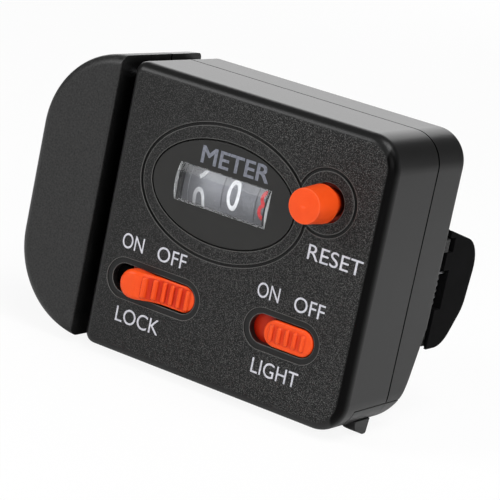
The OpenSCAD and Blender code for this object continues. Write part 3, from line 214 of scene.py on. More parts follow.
# Line guide: the hollow D-shaped wing across the gap, screwed to the rear cover.
# The same ABS from a finer mould, so it is smoother than the face, and the gap's depth is unlit.
GUIDE_RIPPLE_W = 0.4
GAP_REACH = 5.0
abs_fine, tree, shader = new_material("abs_black_satin_moulded", roughness=0.4, ior=1.53, specular=0.3)
place = add(tree, "TexCoord").outputs["Object"]
ripple = add(tree, "TexNoise", {"Vector": place}, Scale=1 / (GUIDE_RIPPLE_W * MM), Detail=3.0)
soft_edge = add(tree, "Bevel", samples=6, Radius=0.2 * MM)
bump = add(tree, "Bump", {"Height": ripple, "Normal": soft_edge}, Distance=0.06 * MM, Strength=0.5)
shade = add(tree, "ValToRGB", {0: ripple}, stops=((0.3, linear("131313")), (0.7, linear("2e2e2e"))))
sky = add(tree, "AmbientOcclusion", samples=6, Distance=GAP_REACH * MM).outputs["AO"]
slot_shade = add(tree, "ValToRGB", {0: sky}, stops=((0.5, (0.05, 0.05, 0.05, 1)), (0.9, WHITE)))
unlit = add(tree, "MixRGB", {1: shade, 2: slot_shade}, blend_type="MULTIPLY", Fac=1.0)
gloss = add(tree, "MapRange", {0: ripple}, To_Min=0.34, To_Max=0.5)
feed(shader, Base_Color=unlit, Specular_Tint=slot_shade, Roughness=gloss, Normal=bump)
dress(abs_fine, "line_guide")

# Window bezel: smooth oval ABS plate pressed into the face round the lens.
# A polished mould gives an even satin with faint flow marks.
BEZEL_FLOW_W = 3.5
bezel_abs, tree, shader = new_material("abs_black_smooth", roughness=0.36, ior=1.53, specular=0.3)
place = add(tree, "TexCoord").outputs["Object"]
flow = add(tree, "TexNoise", {"Vector": place}, Scale=1 / (BEZEL_FLOW_W * MM), Detail=2.0)
shade = add(tree, "ValToRGB", {0: flow}, stops=((0, linear("1b1b1a")), (1, linear("222221"))))
gloss = add(tree, "MapRange", {0: flow}, To_Min=0.3, To_Max=0.44)
soft_edge = add(tree, "Bevel", samples=6, Radius=0.1 * MM)
feed(shader, Base_Color=shade, Roughness=gloss, Normal=soft_edge)
dress(bezel_abs, "window_bezel")

# Digit wheels: three hollow drums of silver-grey moulded styrene on one shaft.
# White figures are printed on the tens and units, red ones on the tenths. Painted light: the colour is lighter
# towards the left, over the tens.
DRUM_Y, WINDOW_Z, DRUM_R = 13.5, 40.65, 8.5
FIGURE_W, FIGURE_H, FIGURE_INK_T = 3.1, 4.3, 0.015
FIGURE_WEIGHT, FIGURE_STEP, FIGURE_CUTS = 0.008, 36, np.linspace(0.05, 0.75, 15)
FLECK_W = 0.25
LEFT_LIGHT_X = (29.0, 17.0)
drum_grey, tree, shader = new_material("styrene_silver_moulded", roughness=0.34, ior=1.57, metallic=0.35)
place = add(tree, "TexCoord").outputs["Object"]
fleck = add(tree, "TexNoise", {"Vector": place}, Scale=1 / (FLECK_W * MM), Detail=2.0)
shade = add(tree, "ValToRGB", {0: fleck}, stops=((0, linear("727276")), (1, linear("98989c"))))
across = add(tree, "SeparateXYZ", {0: place}).outputs[X]
# Painted light: the drums' colour is lightened towards the left.
painted_light_left = add(tree, "MapRange", {0: across}, From_Min=level(X, LEFT_LIGHT_X[0]), From_Max=level(X, LEFT_LIGHT_X[1]),
              To_Max=0.3)
left_lightened = add(tree, "MixRGB", {0: painted_light_left, 1: shade, 2: linear("e4e4e8")})
bump = add(tree, "Bump", {"Height": fleck}, Distance=0.02 * MM, Strength=0.3)
feed(shader, Base_Color=left_lightened, Normal=bump)
dress(drum_grey, "tens_wheel", "units_wheel", "tenths_wheel")


def flat_word(word, weight=0.0):
    """Mesh of a word in the built-in face, filled flat: x along the line, y up from the baseline."""
    curve = bpy.data.curves.new("word", "FONT")
    curve.body = word
    curve.offset = weight
    curve.resolution_u = 6
    holder = bpy.data.objects.new("word", curve)
    bpy.context.scene.collection.objects.link(holder)
    bpy.context.view_layer.update()
    mesh = bpy.data.meshes.new_from_object(holder.evaluated_get(bpy.context.evaluated_depsgraph_get()))
    bpy.data.objects.remove(holder)
    bpy.data.curves.remove(curve)
    return mesh


def read_points(mesh):
    """Vertex positions of a mesh as one array."""
    points = np.zeros(len(mesh.vertices) * 3, np.float32)
    mesh.vertices.foreach_get("co", points)
    return points.reshape(-1, 3)


def fit_box(points, low, high):
    """Points moved and scaled in their plane so that their box runs from low to high."""
    a, b = points[:, :2].min(0), points[:, :2].max(0)
    return (points[:, :2] - a) / (b - a) * (np.array(high) - low) + low


def join_piece(name, meshes, material, body, outward):
    """One object made of several meshes, with its finish and the body that carries it. Where outward is
    given, it is the way that a face at a point should look, and faces turned from it are reversed."""
    shape = bmesh.new()
    for mesh in meshes:
        shape.from_mesh(mesh)
        bpy.data.meshes.remove(mesh)
    if outward:
        shape.normal_update()
        turned = [face for face in shape.faces if outward(face.calc_center_median()).dot(face.normal) < 0]
        bmesh.ops.reverse_faces(shape, faces=turned)
    mesh = bpy.data.meshes.new(name)
    shape.to_mesh(mesh)
    shape.free()
    mesh.materials.append(material)
    piece = bpy.data.objects.new(name, mesh)
    bpy.context.scene.collection.objects.link(piece)
    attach(piece, body)
    return piece


def wrapped_figure(figure, x, turn):
    """A figure laid round a drum: x stays, and the height becomes an arc of the drum's radius from the
    turn. It is cut across at even heights first, so that it can bend."""
    mesh = flat_word(figure, FIGURE_WEIGHT)
    shape = bmesh.new()
    shape.from_mesh(mesh)
    for cut in FIGURE_CUTS:
        bmesh.ops.bisect_plane(shape, geom=shape.verts[:] + shape.edges[:] + shape.faces[:],
                               plane_co=(0, cut, 0), plane_no=(0, 1, 0))
    shape.to_mesh(mesh)
    shape.free()
    half = np.array((FIGURE_W, FIGURE_H)) * MM / 2
    flat = fit_box(read_points(mesh), -half, half)
    radius = (DRUM_R + FIGURE_INK_T) * MM
    angle = turn + flat[:, 1] / radius
    y, z = drum_axis[0] - radius * np.cos(angle), drum_axis[1] + radius * np.sin(angle)
    placed = np.stack([x + flat[:, 0], y, z], 1)
    mesh.vertices.foreach_set("co", placed.astype(np.float32).ravel())
    return mesh


def ink(name, hex_light, hex_dark):
    """Pad-printed ink: matt, slightly uneven in thickness over patches about a millimetre wide."""
    material, tree, shader = new_material(name, roughness=0.55, ior=1.5)
    place = add(tree, "TexCoord").outputs["Object"]
    patch = add(tree, "TexNoise", {"Vector": place}, Scale=1 / (0.7 * MM), Detail=3.0)
    shade = add(tree, "ValToRGB", {0: patch}, stops=((0.3, linear(hex_dark)), (0.6, linear(hex_light))))
    feed(shader, Base_Color=shade)
    return material


def from_axis(point):
    """The way that print on a drum looks: straight away from the drums' axis."""
    return Vector((0, point.y - drum_axis[0], point.z - drum_axis[1]))


white_figures = ink("ink_white_on_drum", "f6f6f6", "e2e2e4")
red_figures = ink("ink_red_on_drum", "e8484c", "cc343a")
drum_axis = on_case(0, DRUM_Y, WINDOW_Z)[1:]
drums = (("tens", 19.3, -22.0, white_figures), ("units", 27.7, -5.0, white_figures),
         ("tenths", 35.6, 283.0, red_figures))
for wheel, centre_x, first_turn, colour in drums:
    figures = [wrapped_figure(str(i), level(X, centre_x), math.radians(first_turn - FIGURE_STEP * i))
               for i in range(10)]
    join_piece(wheel + "_figures", figures, colour, wheel + "_wheel", from_axis)

# Window mask: three arched strips just over the spaces beside the drums, so the window looks even.
# Moulded with the drums' silver-grey styrene; each strip's two legs stand on the inside of the face.
STRIPS_X = ((13.9, 16.5), (22.1, 24.9), (30.5, 33.3))
ARCH_R, ARCH_SPAN, STRIP_HALF_T = 8.6, 46.0, 0.04
LEG_END_Y, LEG_SPREAD = 2.05, 0.3


def finish_shape(mesh, smooth=True):
    """Faces turned outward, and shaded smooth, if asked, except across corners sharper than 40 degrees."""
    shape = bmesh.new()
    shape.from_mesh(mesh)
    bmesh.ops.recalc_face_normals(shape, faces=shape.faces)
    shape.to_mesh(mesh)
    shape.free()
    if smooth:
        mesh.polygons.foreach_set("use_smooth", np.ones(len(mesh.polygons), bool))
        mesh.set_sharp_from_angle(angle=math.radians(40))
    return mesh


def arched_strip(left, right):
    """A thin rectangle from left to right carried along a path: a leg, an arc round the drums, a leg."""
    bend = np.radians(np.linspace(-ARCH_SPAN, ARCH_SPAN, 25))
    arch = np.stack([DRUM_Y - ARCH_R * np.cos(bend), WINDOW_Z + ARCH_R * np.sin(bend)], 1)
    low_foot, high_foot = [[LEG_END_Y, arch[0, 1] - LEG_SPREAD]], [[LEG_END_Y, arch[-1, 1] + LEG_SPREAD]]
    path = np.concatenate([low_foot, arch, high_foot])
    along = np.gradient(path, axis=0)
    normal = STRIP_HALF_T * np.stack([along[:, 1], -along[:, 0]], 1) / np.linalg.norm(along, axis=1)[:, None]
    count = len(path)
    corners = ((left, path + normal), (right, path + normal), (right, path - normal), (left, path - normal))
    ring = np.stack([np.column_stack([np.full(count, x), at]) for x, at in corners], 1)
    index = np.arange(4 * count).reshape(count, 4)
    ahead = np.roll(index, -1, axis=1)
    faces = np.stack([index[:-1], ahead[:-1], ahead[1:], index[1:]], 2).reshape(-1, 4)
    mesh = bpy.data.meshes.new("strip")
    mesh.from_pydata((on_case(0, 0, 0) + ring.reshape(-1, 3) * MM).tolist(), [],
                     faces.tolist() + [index[0].tolist(), index[-1].tolist()])
    return finish_shape(mesh, smooth=False)


strips = [arched_strip(*ends) for ends in STRIPS_X]
join_piece("window_mask", strips, drum_grey, "housing", None)

# Lens: clear half-round magnifier bar set in the bezel.
# Polished acrylic with frosted cut ends. It bends the view of the figures and makes them taller,
# and its IOR is a little under acrylic's 1.49, matched to the height that they show.
SCUFF_W = 1.2
acrylic, tree, shader = new_material("acrylic_polished", roughness=0.03, ior=1.44, specular=0.12)
shader.inputs["Transmission Weight"].default_value = 1.0
shader.inputs["Specular Tint"].default_value = (0.35, 0.35, 0.35, 1)
shader.inputs["Base Color"].default_value = linear("f4f6f8")
coordinates = add(tree, "TexCoord").outputs
scuff = add(tree, "TexNoise", {"Vector": coordinates["Object"]}, Scale=1 / (SCUFF_W * MM), Detail=4.0)
haze = add(tree, "MapRange", {0: scuff}, From_Min=0.45, From_Max=0.75, To_Min=0.02, To_Max=0.12)
facing = add(tree, "SeparateXYZ", {0: coordinates["Normal"]}).outputs[X]
sideways = add(tree, "Math", {0: facing}, operation="ABSOLUTE")
cut_end = add(tree, "Math", {0: sideways, 1: 0.9}, operation="GREATER_THAN")
frosted = add(tree, "Math", {0: haze, 1: cut_end}, operation="MAXIMUM")
feed(shader, Roughness=frosted)
dress(acrylic, "lens")
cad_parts["lens"].visible_shadow = False

# Reset button and the two sliders: bright orange ABS, smooth moulded.
# Painted highlight lightens the thin edges, and painted shade makes the hollows, the ribs' feet and the bases a
# deeper orange.
CLOUD_W, SPECK_W = 2.2, 0.3
SHADE_REACH, THIN_REACH = 2.2, 0.35
orange_abs, tree, shader = new_material("abs_orange_moulded", roughness=0.38, ior=1.53, specular=0.2)
place = add(tree, "TexCoord").outputs["Object"]
cloud = add(tree, "TexNoise", {"Vector": place}, Scale=1 / (CLOUD_W * MM), Detail=3.0)
shade = add(tree, "ValToRGB", {0: cloud}, stops=((0, linear("e04510")), (1, linear("ec521a"))))
# Painted shade: a stored amount per point mixes a deeper red-orange in between the ribs and over the bases.
groove = add(tree, "Attribute", attribute_name="groove").outputs["Fac"]
between = add(tree, "MixRGB", {0: groove, 1: shade, 2: linear("c82c06")})
# Painted highlight: thin convex edges are mixed towards a lighter orange.
thin = add(tree, "AmbientOcclusion", samples=8, inside=True, Distance=THIN_REACH * MM).outputs["AO"]
rim_highlight_paint = add(tree, "ValToRGB", {0: thin}, stops=((0.5, (0.7, 0.7, 0.7, 1)), (0.85, BLACK)))
rim_lit = add(tree, "MixRGB", {0: rim_highlight_paint, 1: between, 2: linear("f4855a")})
# Painted shade: ambient occlusion darkens the hollows to a deeper orange, down to near-black.
sky = add(tree, "AmbientOcclusion", samples=8, Distance=SHADE_REACH * MM).outputs["AO"]
deep = add(tree, "ValToRGB", {0: sky},
           stops=((0.22, (0.02, 0.005, 0.005, 1)), (0.5, (0.75, 0.4, 0.3, 1)), (0.75, WHITE)))
shaded = add(tree, "MixRGB", {1: rim_lit, 2: deep}, blend_type="MULTIPLY", Fac=1.0)
speck = add(tree, "TexNoise", {"Vector": place}, Scale=1 / (SPECK_W * MM), Detail=2.0)
soft_edge = add(tree, "Bevel", samples=8, Radius=SOFT_EDGE_R * MM)
bump = add(tree, "Bump", {"Height": speck, "Normal": soft_edge}, Distance=0.02 * MM, Strength=0.35)
gloss = add(tree, "MapRange", {0: cloud}, To_Min=0.32, To_Max=0.46)
feed(shader, Base_Color=shaded, Roughness=gloss, Normal=bump)
dress(orange_abs, "reset_button", "lock_slider", "light_slider")

# Thumb pads of the two sliders: long round-ended blocks of the same orange ABS, each on its flat base.
# Half-round ribs cross them for grip, and the lock's end rises into a smooth rounded nose.
PAD_HALF, PAD_STEP, SLIDER_Z = 2.85, 0.07, 16.6
BASE_Y, BASE_T, BASE_HALF, BASE_SHADE = 2.2, 1.8, 4.65, 1.4
RIB_R, RIB_END_R, RIB_FLANK = 0.55, 0.5, 0.625
GROOVE_PAST, GROOVE_FADE = (0.8, 0.3), (0.5, 0.4)
LOCK_PAD_X, LOCK_BASE_END = (8.45, 26.05), 30.5
LOCK_RIBS_X = 24.35 - 1.97 * np.arange(6)
NOSE_OUT, NOSE_FALL, NOSE_X, SLOPE_L = 2.7, 2.9, 11.6, 7.0
NOSE_ROLL, RIBBED_ROLL, ROLL_X = 1.1, 0.45, 10.5
NOSE_SWELL, SWELL_X, SWELL_L = 0.09, 15.5, 3.0
LIGHT_PAD_X, LIGHT_BASE_X = (43.95, 55.85), (38.7, 60.2)
LIGHT_RIBS_X = 45.9 + 1.9 * np.arange(5)
LIGHT_OUT, LIGHT_ROLL = 0.3, 0.5


def groove_depth(mesh, values):
    """Keeps how strongly painted shade deepens the orange at each point of a mesh, 0 on the ribs and outside,
    as an attribute.
    """
    mesh.attributes.new("groove", "FLOAT", "POINT").data.foreach_set("value", np.asarray(values, np.float32))


def thumb_pad(start, end, profile, roll, swell, ribs, rib_h, rib_half, shade_amount):
    """Round-ended block as a height field: at each x the top's depth is the profile plus a quarter-round
    roll-off by the distance to the outline, less half-round ribs; its border drops straight to the base.
    Shade_amount tells how strongly painted shade deepens the orange between the ribs; it fades a little past
    the last ribs and their ends, and up a rib's flanks."""
    turn = np.linspace(0.03, np.pi / 2, 40)
    cap = PAD_HALF * (1 - np.cos(turn))
    straight = np.arange(start + PAD_HALF, end - PAD_HALF, PAD_STEP)[1:]
    x = np.concatenate([start + cap, straight, (end - cap)[::-1]])
    beyond = np.maximum(0, np.maximum(start + PAD_HALF - x, x - end + PAD_HALF))
    half = np.sqrt(PAD_HALF ** 2 - beyond ** 2)
    z = half[:, None] * np.sin(np.linspace(-1, 1, 49) * np.pi / 2)
    inside = np.maximum(0, PAD_HALF - np.hypot(beyond[:, None], z))
    z = z * swell(x)[:, None]
    radius = roll(x)[:, None]
    depth = profile(x)[:, None] + radius - np.sqrt(radius ** 2 - (radius - np.minimum(inside, radius)) ** 2)
    rise = np.zeros_like(depth)
    for place in ribs:
        away = np.hypot((x - place)[:, None], np.maximum(np.abs(z) - rib_half + RIB_END_R, 0))
        rise += np.sqrt(np.clip(1 - (away / RIB_R) ** 2, 0, 1))
    depth -= rib_h * rise
    past = np.maximum(np.maximum(min(ribs) - x, x - max(ribs)), 0)[:, None]
    among_ribs = np.clip((GROOVE_PAST[0] - past) / GROOVE_FADE[0], 0, 1)
    within_ends = np.clip((rib_half + GROOVE_PAST[1] - np.abs(z)) / GROOVE_FADE[1], 0, 1)
    groove = np.clip(1 - rise / RIB_FLANK, 0, 1) * among_ribs * within_ends * shade_amount
    rows, columns = z.shape
    top = np.stack([np.broadcast_to(x[:, None], z.shape), depth, SLIDER_Z + z], 2).reshape(-1, 3)
    index = np.arange(rows * columns).reshape(rows, columns)
    quads = np.stack([index[:-1, :-1], index[1:, :-1], index[1:, 1:], index[:-1, 1:]], 2).reshape(-1, 4)
    border = np.concatenate([index[:, 0], index[-1, 1:], index[-2::-1, -1], index[0, -2:0:-1]])
    foot = top[border] * (1, 0, 1) + (0, BASE_Y, 0)
    under = rows * columns + np.arange(len(border))
    walls = np.stack([border, np.roll(border, -1), np.roll(under, -1), under], 1)
    mesh = bpy.data.meshes.new("pad")
    mesh.from_pydata((on_case(0, 0, 0) + np.concatenate([top, foot]) * MM).tolist(), [],
                     quads.tolist() + walls.tolist() + [under.tolist()])
    groove_depth(mesh, np.concatenate([groove.ravel(), np.zeros(len(border))]))
    return finish_shape(mesh)


def slider_base(low_x, high_x):
    """Flat base of a slider behind the face, a plain plate with its eight corners given by three pairs."""
    corners = np.array(np.meshgrid((low_x, high_x), (BASE_Y, BASE_Y + BASE_T),
                                   (SLIDER_Z - BASE_HALF, SLIDER_Z + BASE_HALF), indexing="ij"))
    mesh = bpy.data.meshes.new("base")
    mesh.from_pydata((on_case(0, 0, 0) + corners.reshape(3, 8).T * MM).tolist(), [],
                     [(0, 1, 3, 2), (4, 6, 7, 5), (0, 4, 5, 1), (2, 3, 7, 6), (0, 2, 6, 4), (1, 5, 7, 3)])
    # Painted shade: the base is painted a deeper orange all over.
    groove_depth(mesh, np.full(8, BASE_SHADE))
    return finish_shape(mesh)


def lock_profile(x):
    """Depth along the lock's pad: a proud nose that falls on a cosine to a floor just under the face."""
    fall = np.clip((x - NOSE_X) / SLOPE_L, 0, 1)
    return -NOSE_OUT + NOSE_FALL * (1 - np.cos(np.pi * fall)) / 2


def lock_roll(x):
    """Edge radius along the lock's pad: large on the nose, small where the ribs are."""
    return NOSE_ROLL + (RIBBED_ROLL - NOSE_ROLL) * np.clip((x - ROLL_X) / SLOPE_L, 0, 1)


def lock_swell(x):
    """Width factor along the lock's pad: the nose is a little fuller than the ribbed end."""
    return 1 + NOSE_SWELL * np.clip((SWELL_X - x) / SWELL_L, 0, 1)


def even(value):
    """A factor or depth that stays the same along a pad."""
    return lambda x: np.full(len(x), value)


lock_pad = thumb_pad(*LOCK_PAD_X, lock_profile, lock_roll, lock_swell, LOCK_RIBS_X,
                     rib_h=0.65, rib_half=2.25, shade_amount=1.0)
piece = join_piece("lock_thumb_pad", [lock_pad, slider_base(LOCK_PAD_X[0], LOCK_BASE_END)], orange_abs,
                   "lock_slider", None)
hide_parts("lock_slider")
light_pad = thumb_pad(*LIGHT_PAD_X, even(-LIGHT_OUT), even(LIGHT_ROLL), even(1.0), LIGHT_RIBS_X,
                      rib_h=0.55, rib_half=1.75, shade_amount=0.65)
piece = join_piece("light_thumb_pad", [light_pad, slider_base(*LIGHT_BASE_X)], orange_abs,
                   "light_slider", None)
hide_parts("light_slider")

# Rod clip: saddle and D-shaped claw of polished black nylon, the slider's hidden arm and the line wheel.
# A glossy mould, with faint sinks and fine handling scratches; the claw's own mould is duller.
SINK_W, SCRATCH_W = 6.0, 2.5


def black_nylon(name, smoothest, roughest, specular):
    """Black nylon: broad shallow sinks about 6 mm wide and scratches drawn out along the part."""
    material, tree, shader = new_material(name, roughness=smoothest, ior=1.53, specular=specular)
    place = add(tree, "TexCoord").outputs["Object"]
    sink = add(tree, "TexNoise", {"Vector": place}, Scale=1 / (SINK_W * MM), Detail=3.0)
    drawn = add(tree, "Mapping", {0: place}, Scale=(1, 12, 3))
    scratch = add(tree, "TexNoise", {"Vector": drawn}, Scale=1 / (SCRATCH_W * MM), Detail=4.0)
    shade = add(tree, "ValToRGB", {0: sink}, stops=((0, linear("0a0a0a")), (1, linear("101011"))))
    gloss = add(tree, "MapRange", {0: scratch}, To_Min=smoothest, To_Max=roughest)
    soft_edge = add(tree, "Bevel", samples=6, Radius=0.25 * MM)
    bump = add(tree, "Bump", {"Height": sink, "Normal": soft_edge}, Distance=0.1 * MM, Strength=0.2)
    feed(shader, Base_Color=shade, Roughness=gloss, Normal=bump)
    return material


polished_nylon = black_nylon("nylon_black_polished", smoothest=0.16, roughest=0.34, specular=0.08)
satin_nylon = black_nylon("nylon_black_satin", smoothest=0.3, roughest=0.42, specular=0.005)
dress(polished_nylon, "clip_saddle", "lock_arm", "line_wheel")
dress(satin_nylon, "clip_claw")

# Rubber: the saddle's and claw's pads and the measuring wheel's tyre.
# Black nitrile, matt, with a fine pebble from the mould.
PEBBLE_W, PEBBLE_H = 0.5, 0.08
nitrile, tree, shader = new_material("nitrile_black_moulded", roughness=0.78, ior=1.52)
place = add(tree, "TexCoord").outputs["Object"]
pebble = add(tree, "TexVoronoi", {"Vector": place}, Scale=1 / (PEBBLE_W * MM))
shade = add(tree, "ValToRGB", {0: pebble}, stops=((0, linear("141414")), (1, linear("262626"))))
bump = add(tree, "Bump", {"Height": pebble}, Distance=PEBBLE_H * MM, Strength=0.5)
feed(shader, Base_Color=shade, Normal=bump)
dress(nitrile, "saddle_pad", "claw_pad", "wheel_tyre")

# Steel: screws, pins, shafts, springs, the reset bar and the cells' cans.
# Turned and drawn wire, with fine lines round the bar and a dull zinc bloom.
LINE_W, BLOOM_W = 1.5, 1.8
zinc_steel, tree, shader = new_material("steel_zinc_turned", roughness=0.3, metallic=1.0)
place = add(tree, "TexCoord").outputs["Object"]
drawn = add(tree, "Mapping", {0: place}, Scale=(14, 1, 1))
lines = add(tree, "TexNoise", {"Vector": drawn}, Scale=1 / (LINE_W * MM), Detail=4.0)
bloom = add(tree, "TexNoise", {"Vector": place}, Scale=1 / (BLOOM_W * MM), Detail=3.0)
shade = add(tree, "ValToRGB", {0: bloom}, stops=((0, linear("8c8e90")), (1, linear("c2c4c6"))))
gloss = add(tree, "MapRange", {0: lines}, To_Min=0.22, To_Max=0.45)
feed(shader, Base_Color=shade, Roughness=gloss)
dress(zinc_steel, "case_screws", "clip_screws", "clip_pin", "clip_spring", "reset_spring", "reset_bar",
      "counter_shaft", "pinion_shaft", "gear_pin", "wheel_shaft", "guide_pins", "roller_pin", "button_cells")

# Springs: the button's return spring and the clip's torsion spring, cold-wound from plated music wire.
# The first, which shortens as the button goes in, is drawn at rest on the housing; the second is drawn at rest,
# from its fixed leg round the coil to the claw's leg.
BUTTON_X, BUTTON_Z, RETURN_END_Y, RETURN_INSET = 52.0, 45.95, 11.6, 0.35
RETURN_R, RETURN_WIRE_R, RETURN_PITCH, RETURN_TURNS = 2.9, 0.3, 1.5, 5
HINGE = np.array((62.15, 32.07, 24.606))
TORSION_R, TORSION_WIRE_R, TORSION_PITCH, TORSION_TURNS = 1.6, 0.4, 1.35, 5.25
TORSION_L = TORSION_PITCH * TORSION_TURNS
BRACE_X, CLAW_LEG_Y = (-4.35, -0.3), (0.3, 5.0)
WIRE_SIDES, TURN_POINTS, LEG_POINTS = 10, 24, 8


def wound_wire(name, path, axis, radius):
    """Round wire: a circle carried along the path, square to it, with one diameter held to the coil's axis."""
    along = np.gradient(path, axis=0)
    along /= np.linalg.norm(along, axis=1)[:, None]
    up = np.array(axis) - (along @ axis)[:, None] * along
    up /= np.linalg.norm(up, axis=1)[:, None]
    out = np.cross(along, up)
    turn = np.linspace(0, 2 * np.pi, WIRE_SIDES, endpoint=False)
    ring = path[:, None] + radius * (np.cos(turn)[:, None] * out[:, None] + np.sin(turn)[:, None] * up[:, None])
    index = np.arange(len(path) * WIRE_SIDES).reshape(-1, WIRE_SIDES)
    ahead = np.roll(index, -1, axis=1)
    quads = np.stack([index[:-1], ahead[:-1], ahead[1:], index[1:]], 2).reshape(-1, 4)
    mesh = bpy.data.meshes.new(name)
    mesh.from_pydata((on_case(0, 0, 0) + ring.reshape(-1, 3) * MM).tolist(), [],
                     quads.tolist() + [index[0].tolist(), index[-1].tolist()])
    mesh.materials.append(zinc_steel)
    piece = bpy.data.objects.new(name, finish_shape(mesh))
    bpy.context.scene.collection.objects.link(piece)
    return piece


def coil_points(radius, pitch, turns, start):
    """Points of a helix about the third axis, evenly spaced from the start angle in degrees."""
    angle = np.linspace(0, 2 * np.pi * turns, int(TURN_POINTS * turns) + 1)
    around = angle + math.radians(start)
    return np.stack([radius * np.cos(around), radius * np.sin(around), pitch * angle / (2 * np.pi)], 1)


coil = coil_points(RETURN_R, RETURN_PITCH, RETURN_TURNS, 0)
path = np.stack([BUTTON_X + coil[:, 0], RETURN_END_Y - RETURN_INSET - coil[:, 2], BUTTON_Z + coil[:, 1]], 1)
return_spring = wound_wire("return_spring", path, (0, 1, 0), RETURN_WIRE_R)
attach(return_spring, "housing")
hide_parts("reset_spring")
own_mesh(return_spring)

coil = coil_points(TORSION_R, TORSION_PITCH, TORSION_TURNS, -90)
ones = np.ones(LEG_POINTS)
brace = np.stack([np.linspace(*BRACE_X, LEG_POINTS), -TORSION_R * ones, 0 * ones], 1)
claw_leg = np.stack([TORSION_R * ones, np.linspace(*CLAW_LEG_Y, LEG_POINTS), TORSION_L * ones], 1)
path = HINGE + np.concatenate([brace, coil, claw_leg])
torsion_spring = wound_wire("torsion_spring", path, (0, 0, 1), TORSION_WIRE_R)
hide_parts("clip_spring")
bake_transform(torsion_spring)

# Brass: pinions, bushes, switch blades, contacts and the lamp's strips.
# Stamped and hobbed sheet and bar, slightly tarnished in patches.
TARNISH_W = 1.5
brass, tree, shader = new_material("brass_stamped", roughness=0.3, metallic=1.0)
place = add(tree, "TexCoord").outputs["Object"]
tarnish = add(tree, "TexNoise", {"Vector": place}, Scale=1 / (TARNISH_W * MM), Detail=4.0)
shade = add(tree, "ValToRGB", {0: tarnish}, stops=((0, linear("8a6a35")), (1, linear("c8a45c"))))
gloss = add(tree, "MapRange", {0: tarnish}, To_Min=0.42, To_Max=0.24)
feed(shader, Base_Color=shade, Roughness=gloss)
dress(brass, "carry_pinion_a", "carry_pinion_b", "drive_pinion", "shaft_bushes", "switch_bridge",
      "switch_blades", "lamp_strips", "cell_contacts")

# Frame, reduction gear and roller: natural acetal, and the lamp's resin.
# Milky and waxy, moulded smooth.
MILK_W = 2.5
acetal, tree, shader = new_material("acetal_natural", roughness=0.4, ior=1.48)
place = add(tree, "TexCoord").outputs["Object"]
milk = add(tree, "TexNoise", {"Vector": place}, Scale=1 / (MILK_W * MM), Detail=3.0)
shade = add(tree, "ValToRGB", {0: milk}, stops=((0, linear("d4d2c6")), (1, linear("e8e6dc"))))
gloss = add(tree, "MapRange", {0: milk}, To_Min=0.34, To_Max=0.5)
feed(shader, Base_Color=shade, Roughness=gloss)
dress(acetal, "counter_frame", "reduction_gear", "pinch_roller", "lamp")

# Printed words on the face: generic words for the window, the button and the two sliders.
# White pad-printing ink, and a grey print over the window, laid down in four passes.
FACE_INK_T, PASS_T = 0.02, 0.003
WORDS = (("ON", (5.8, 22.95), (11.3, 26.25)), ("OFF", (15.0, 22.75), (22.4, 25.95)),
         ("ON", (40.5, 22.85), (45.9, 26.05)), ("OFF", (49.6, 22.55), (56.9, 25.75)),
         ("RESET", (50.2, 33.75), (63.1, 36.95)), ("LOCK", (7.6, 7.15), (18.9, 10.45)),
         ("LIGHT", (42.7, 7.15), (54.0, 10.35)))
WINDOW_WORD, WORD_LOW, WORD_HIGH = "METER", (21.0, 45.85), (37.7, 49.35)
PASSES = np.array([(-0.1, -0.08), (0.1, -0.08), (-0.1, 0.08), (0.1, 0.08)])
white_print = ink("ink_white_pad_printed", "c9c9d0", "b0b0b9")
grey_print = ink("ink_grey_pad_printed", "767984", "5c5f69")


def face_word(word, low, high, proud=FACE_INK_T):
    """A flat word whose box runs from low to high on the front face, one ink thickness proud of it."""
    mesh = flat_word(word)
    flat = fit_box(read_points(mesh), low, high)
    placed = on_case(0, 0, 0) + np.stack([flat[:, 0], np.full(len(flat), -proud), flat[:, 1]], 1) * MM
    mesh.vertices.foreach_set("co", placed.astype(np.float32).ravel())
    return mesh


def to_front(point):
    """The way that print on the face looks: straight out of it."""
    return Vector((0, -1, 0))


words = [face_word(*word) for word in WORDS]
join_piece("face_words", words, white_print, "housing", to_front)
layers = [face_word(WINDOW_WORD, WORD_LOW + shift, WORD_HIGH + shift, FACE_INK_T + PASS_T * i)
          for i, shift in enumerate(PASSES)]
join_piece("window_word", layers, grey_print, "housing", to_front)

# Studio: white paper sweep, a softbox overhead, two behind and one from each side of the front.
# The camera looks from 31 degrees right of the front and 13 degrees up, and is rolled by 12 degrees.
# Lamps are placed from the part's middle, with the side of the box in metres and the power in watts.
PAPER_REACH = 6.0
PAPER_GLOW, ROOM_LIGHT = 0.9, 0.12
PART_MIDDLE = (30, 15, 30)
LAMPS = (("overhead", (0.35, -0.15, 0.75), 0.5, 5.0), ("behind", (-0.5, 0.85, 0.3), 0.8, 3.7),
         ("left_key", (-0.6, -0.75, 0.5), 0.5, 5.2), ("right_back", (0.8, 0.6, 0.15), 0.6, 0.7),
         ("right_fill", (0.65, -0.65, 0.35), 0.4, 3.4))
NEARLY_UP = (0.03, 0.02, 1.0)
CAMERA_AT, LENS_MM, SENSOR_MM = (281.91, -413.94, 143.65), 174.19, 36.0
CAMERA_RIGHT = (0.8190427405, 0.5385105513, 0.1979277024)
CAMERA_UP = (-0.2881025911, 0.0877038780, 0.9535748145)
CAMERA_BACK = (0.4961510720, -0.8380420132, 0.2269795098)
scene = bpy.context.scene
scene.view_settings.view_transform = "Standard"
floor_z = cad_box[0][Z]
corners = [(x * PAPER_REACH, y * PAPER_REACH, floor_z) for x, y in ((-1, -1), (1, -1), (1, 1), (-1, 1))]
floor_mesh = bpy.data.meshes.new("sweep")
floor_mesh.from_pydata(corners, [], [(0, 1, 2, 3)])
floor = bpy.data.objects.new("sweep", floor_mesh)
scene.collection.objects.link(floor)


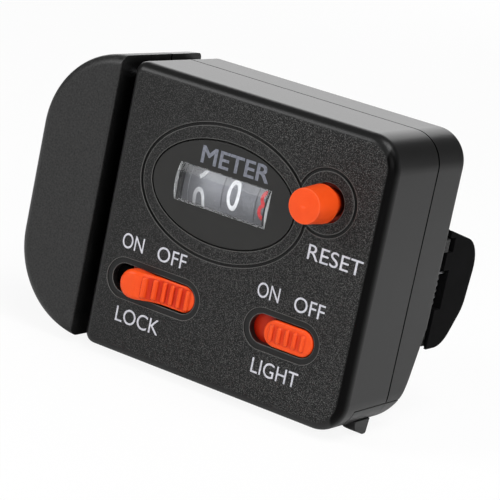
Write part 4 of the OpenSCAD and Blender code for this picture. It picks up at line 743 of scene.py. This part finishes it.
def seen_directly(tree):
    """1 where the camera sees a surface straight or through the lens, and 0 where it only gives light."""
    path = add(tree, "LightPath").outputs
    return add(tree, "Math", {0: path["Is Camera Ray"], 1: path["Is Transmission Ray"]}, operation="MAXIMUM")


paper, tree, shader = new_material("paper_white", roughness=0.9, specular=0.0)
shader.inputs["Base Color"].default_value = (0.9, 0.9, 0.9, 1)
share = add(tree, "Math", {0: seen_directly(tree), 1: PAPER_GLOW}, operation="MULTIPLY")
glow = add(tree, "Emission", Strength=1.0)
blend = add(tree, "MixShader", {0: share, 1: shader, 2: glow})
tree.links.new(blend.outputs[0], tree.nodes["Material Output"].inputs["Surface"])
floor_mesh.materials.append(paper)

world = bpy.data.worlds.new("studio")
scene.world = world
world.use_nodes = True
tree = world.node_tree
room = tree.nodes["Background"]
room.inputs["Color"].default_value = WHITE
room.inputs["Strength"].default_value = ROOM_LIGHT
white = add(tree, "Background", Strength=1.0, Color=WHITE)
blend = add(tree, "MixShader", {0: seen_directly(tree), 1: room, 2: white})
tree.links.new(blend.outputs[0], tree.nodes["World Output"].inputs["Surface"])


def softbox(name, place, target, size, power):
    """A square area lamp at a place, turned so that its face looks at the target."""
    lamp = bpy.data.lights.new(name, "AREA")
    lamp.size = size
    lamp.energy = power
    holder = bpy.data.objects.new(name, lamp)
    back = place - target
    back /= np.linalg.norm(back)
    side = np.cross(NEARLY_UP, back)
    side /= np.linalg.norm(side)
    turn = np.stack([side, np.cross(back, side), back], 1)
    holder.matrix_world = Matrix.Translation(place) @ Matrix(turn.tolist()).to_4x4()
    scene.collection.objects.link(holder)


middle = on_case(*PART_MIDDLE)
for name, offset, size, power in LAMPS:
    softbox(name, middle + offset, middle, size, power)

camera_data = bpy.data.cameras.new("camera")
camera_data.sensor_width = SENSOR_MM
camera_data.lens = LENS_MM
camera_data.clip_start = 0.01
camera = bpy.data.objects.new("camera", camera_data)
turn = Matrix(np.stack([CAMERA_RIGHT, CAMERA_UP, CAMERA_BACK], 1).tolist()).to_4x4()
camera.matrix_world = Matrix.Translation(on_case(*CAMERA_AT)) @ turn
scene.collection.objects.link(camera)
scene.camera = camera
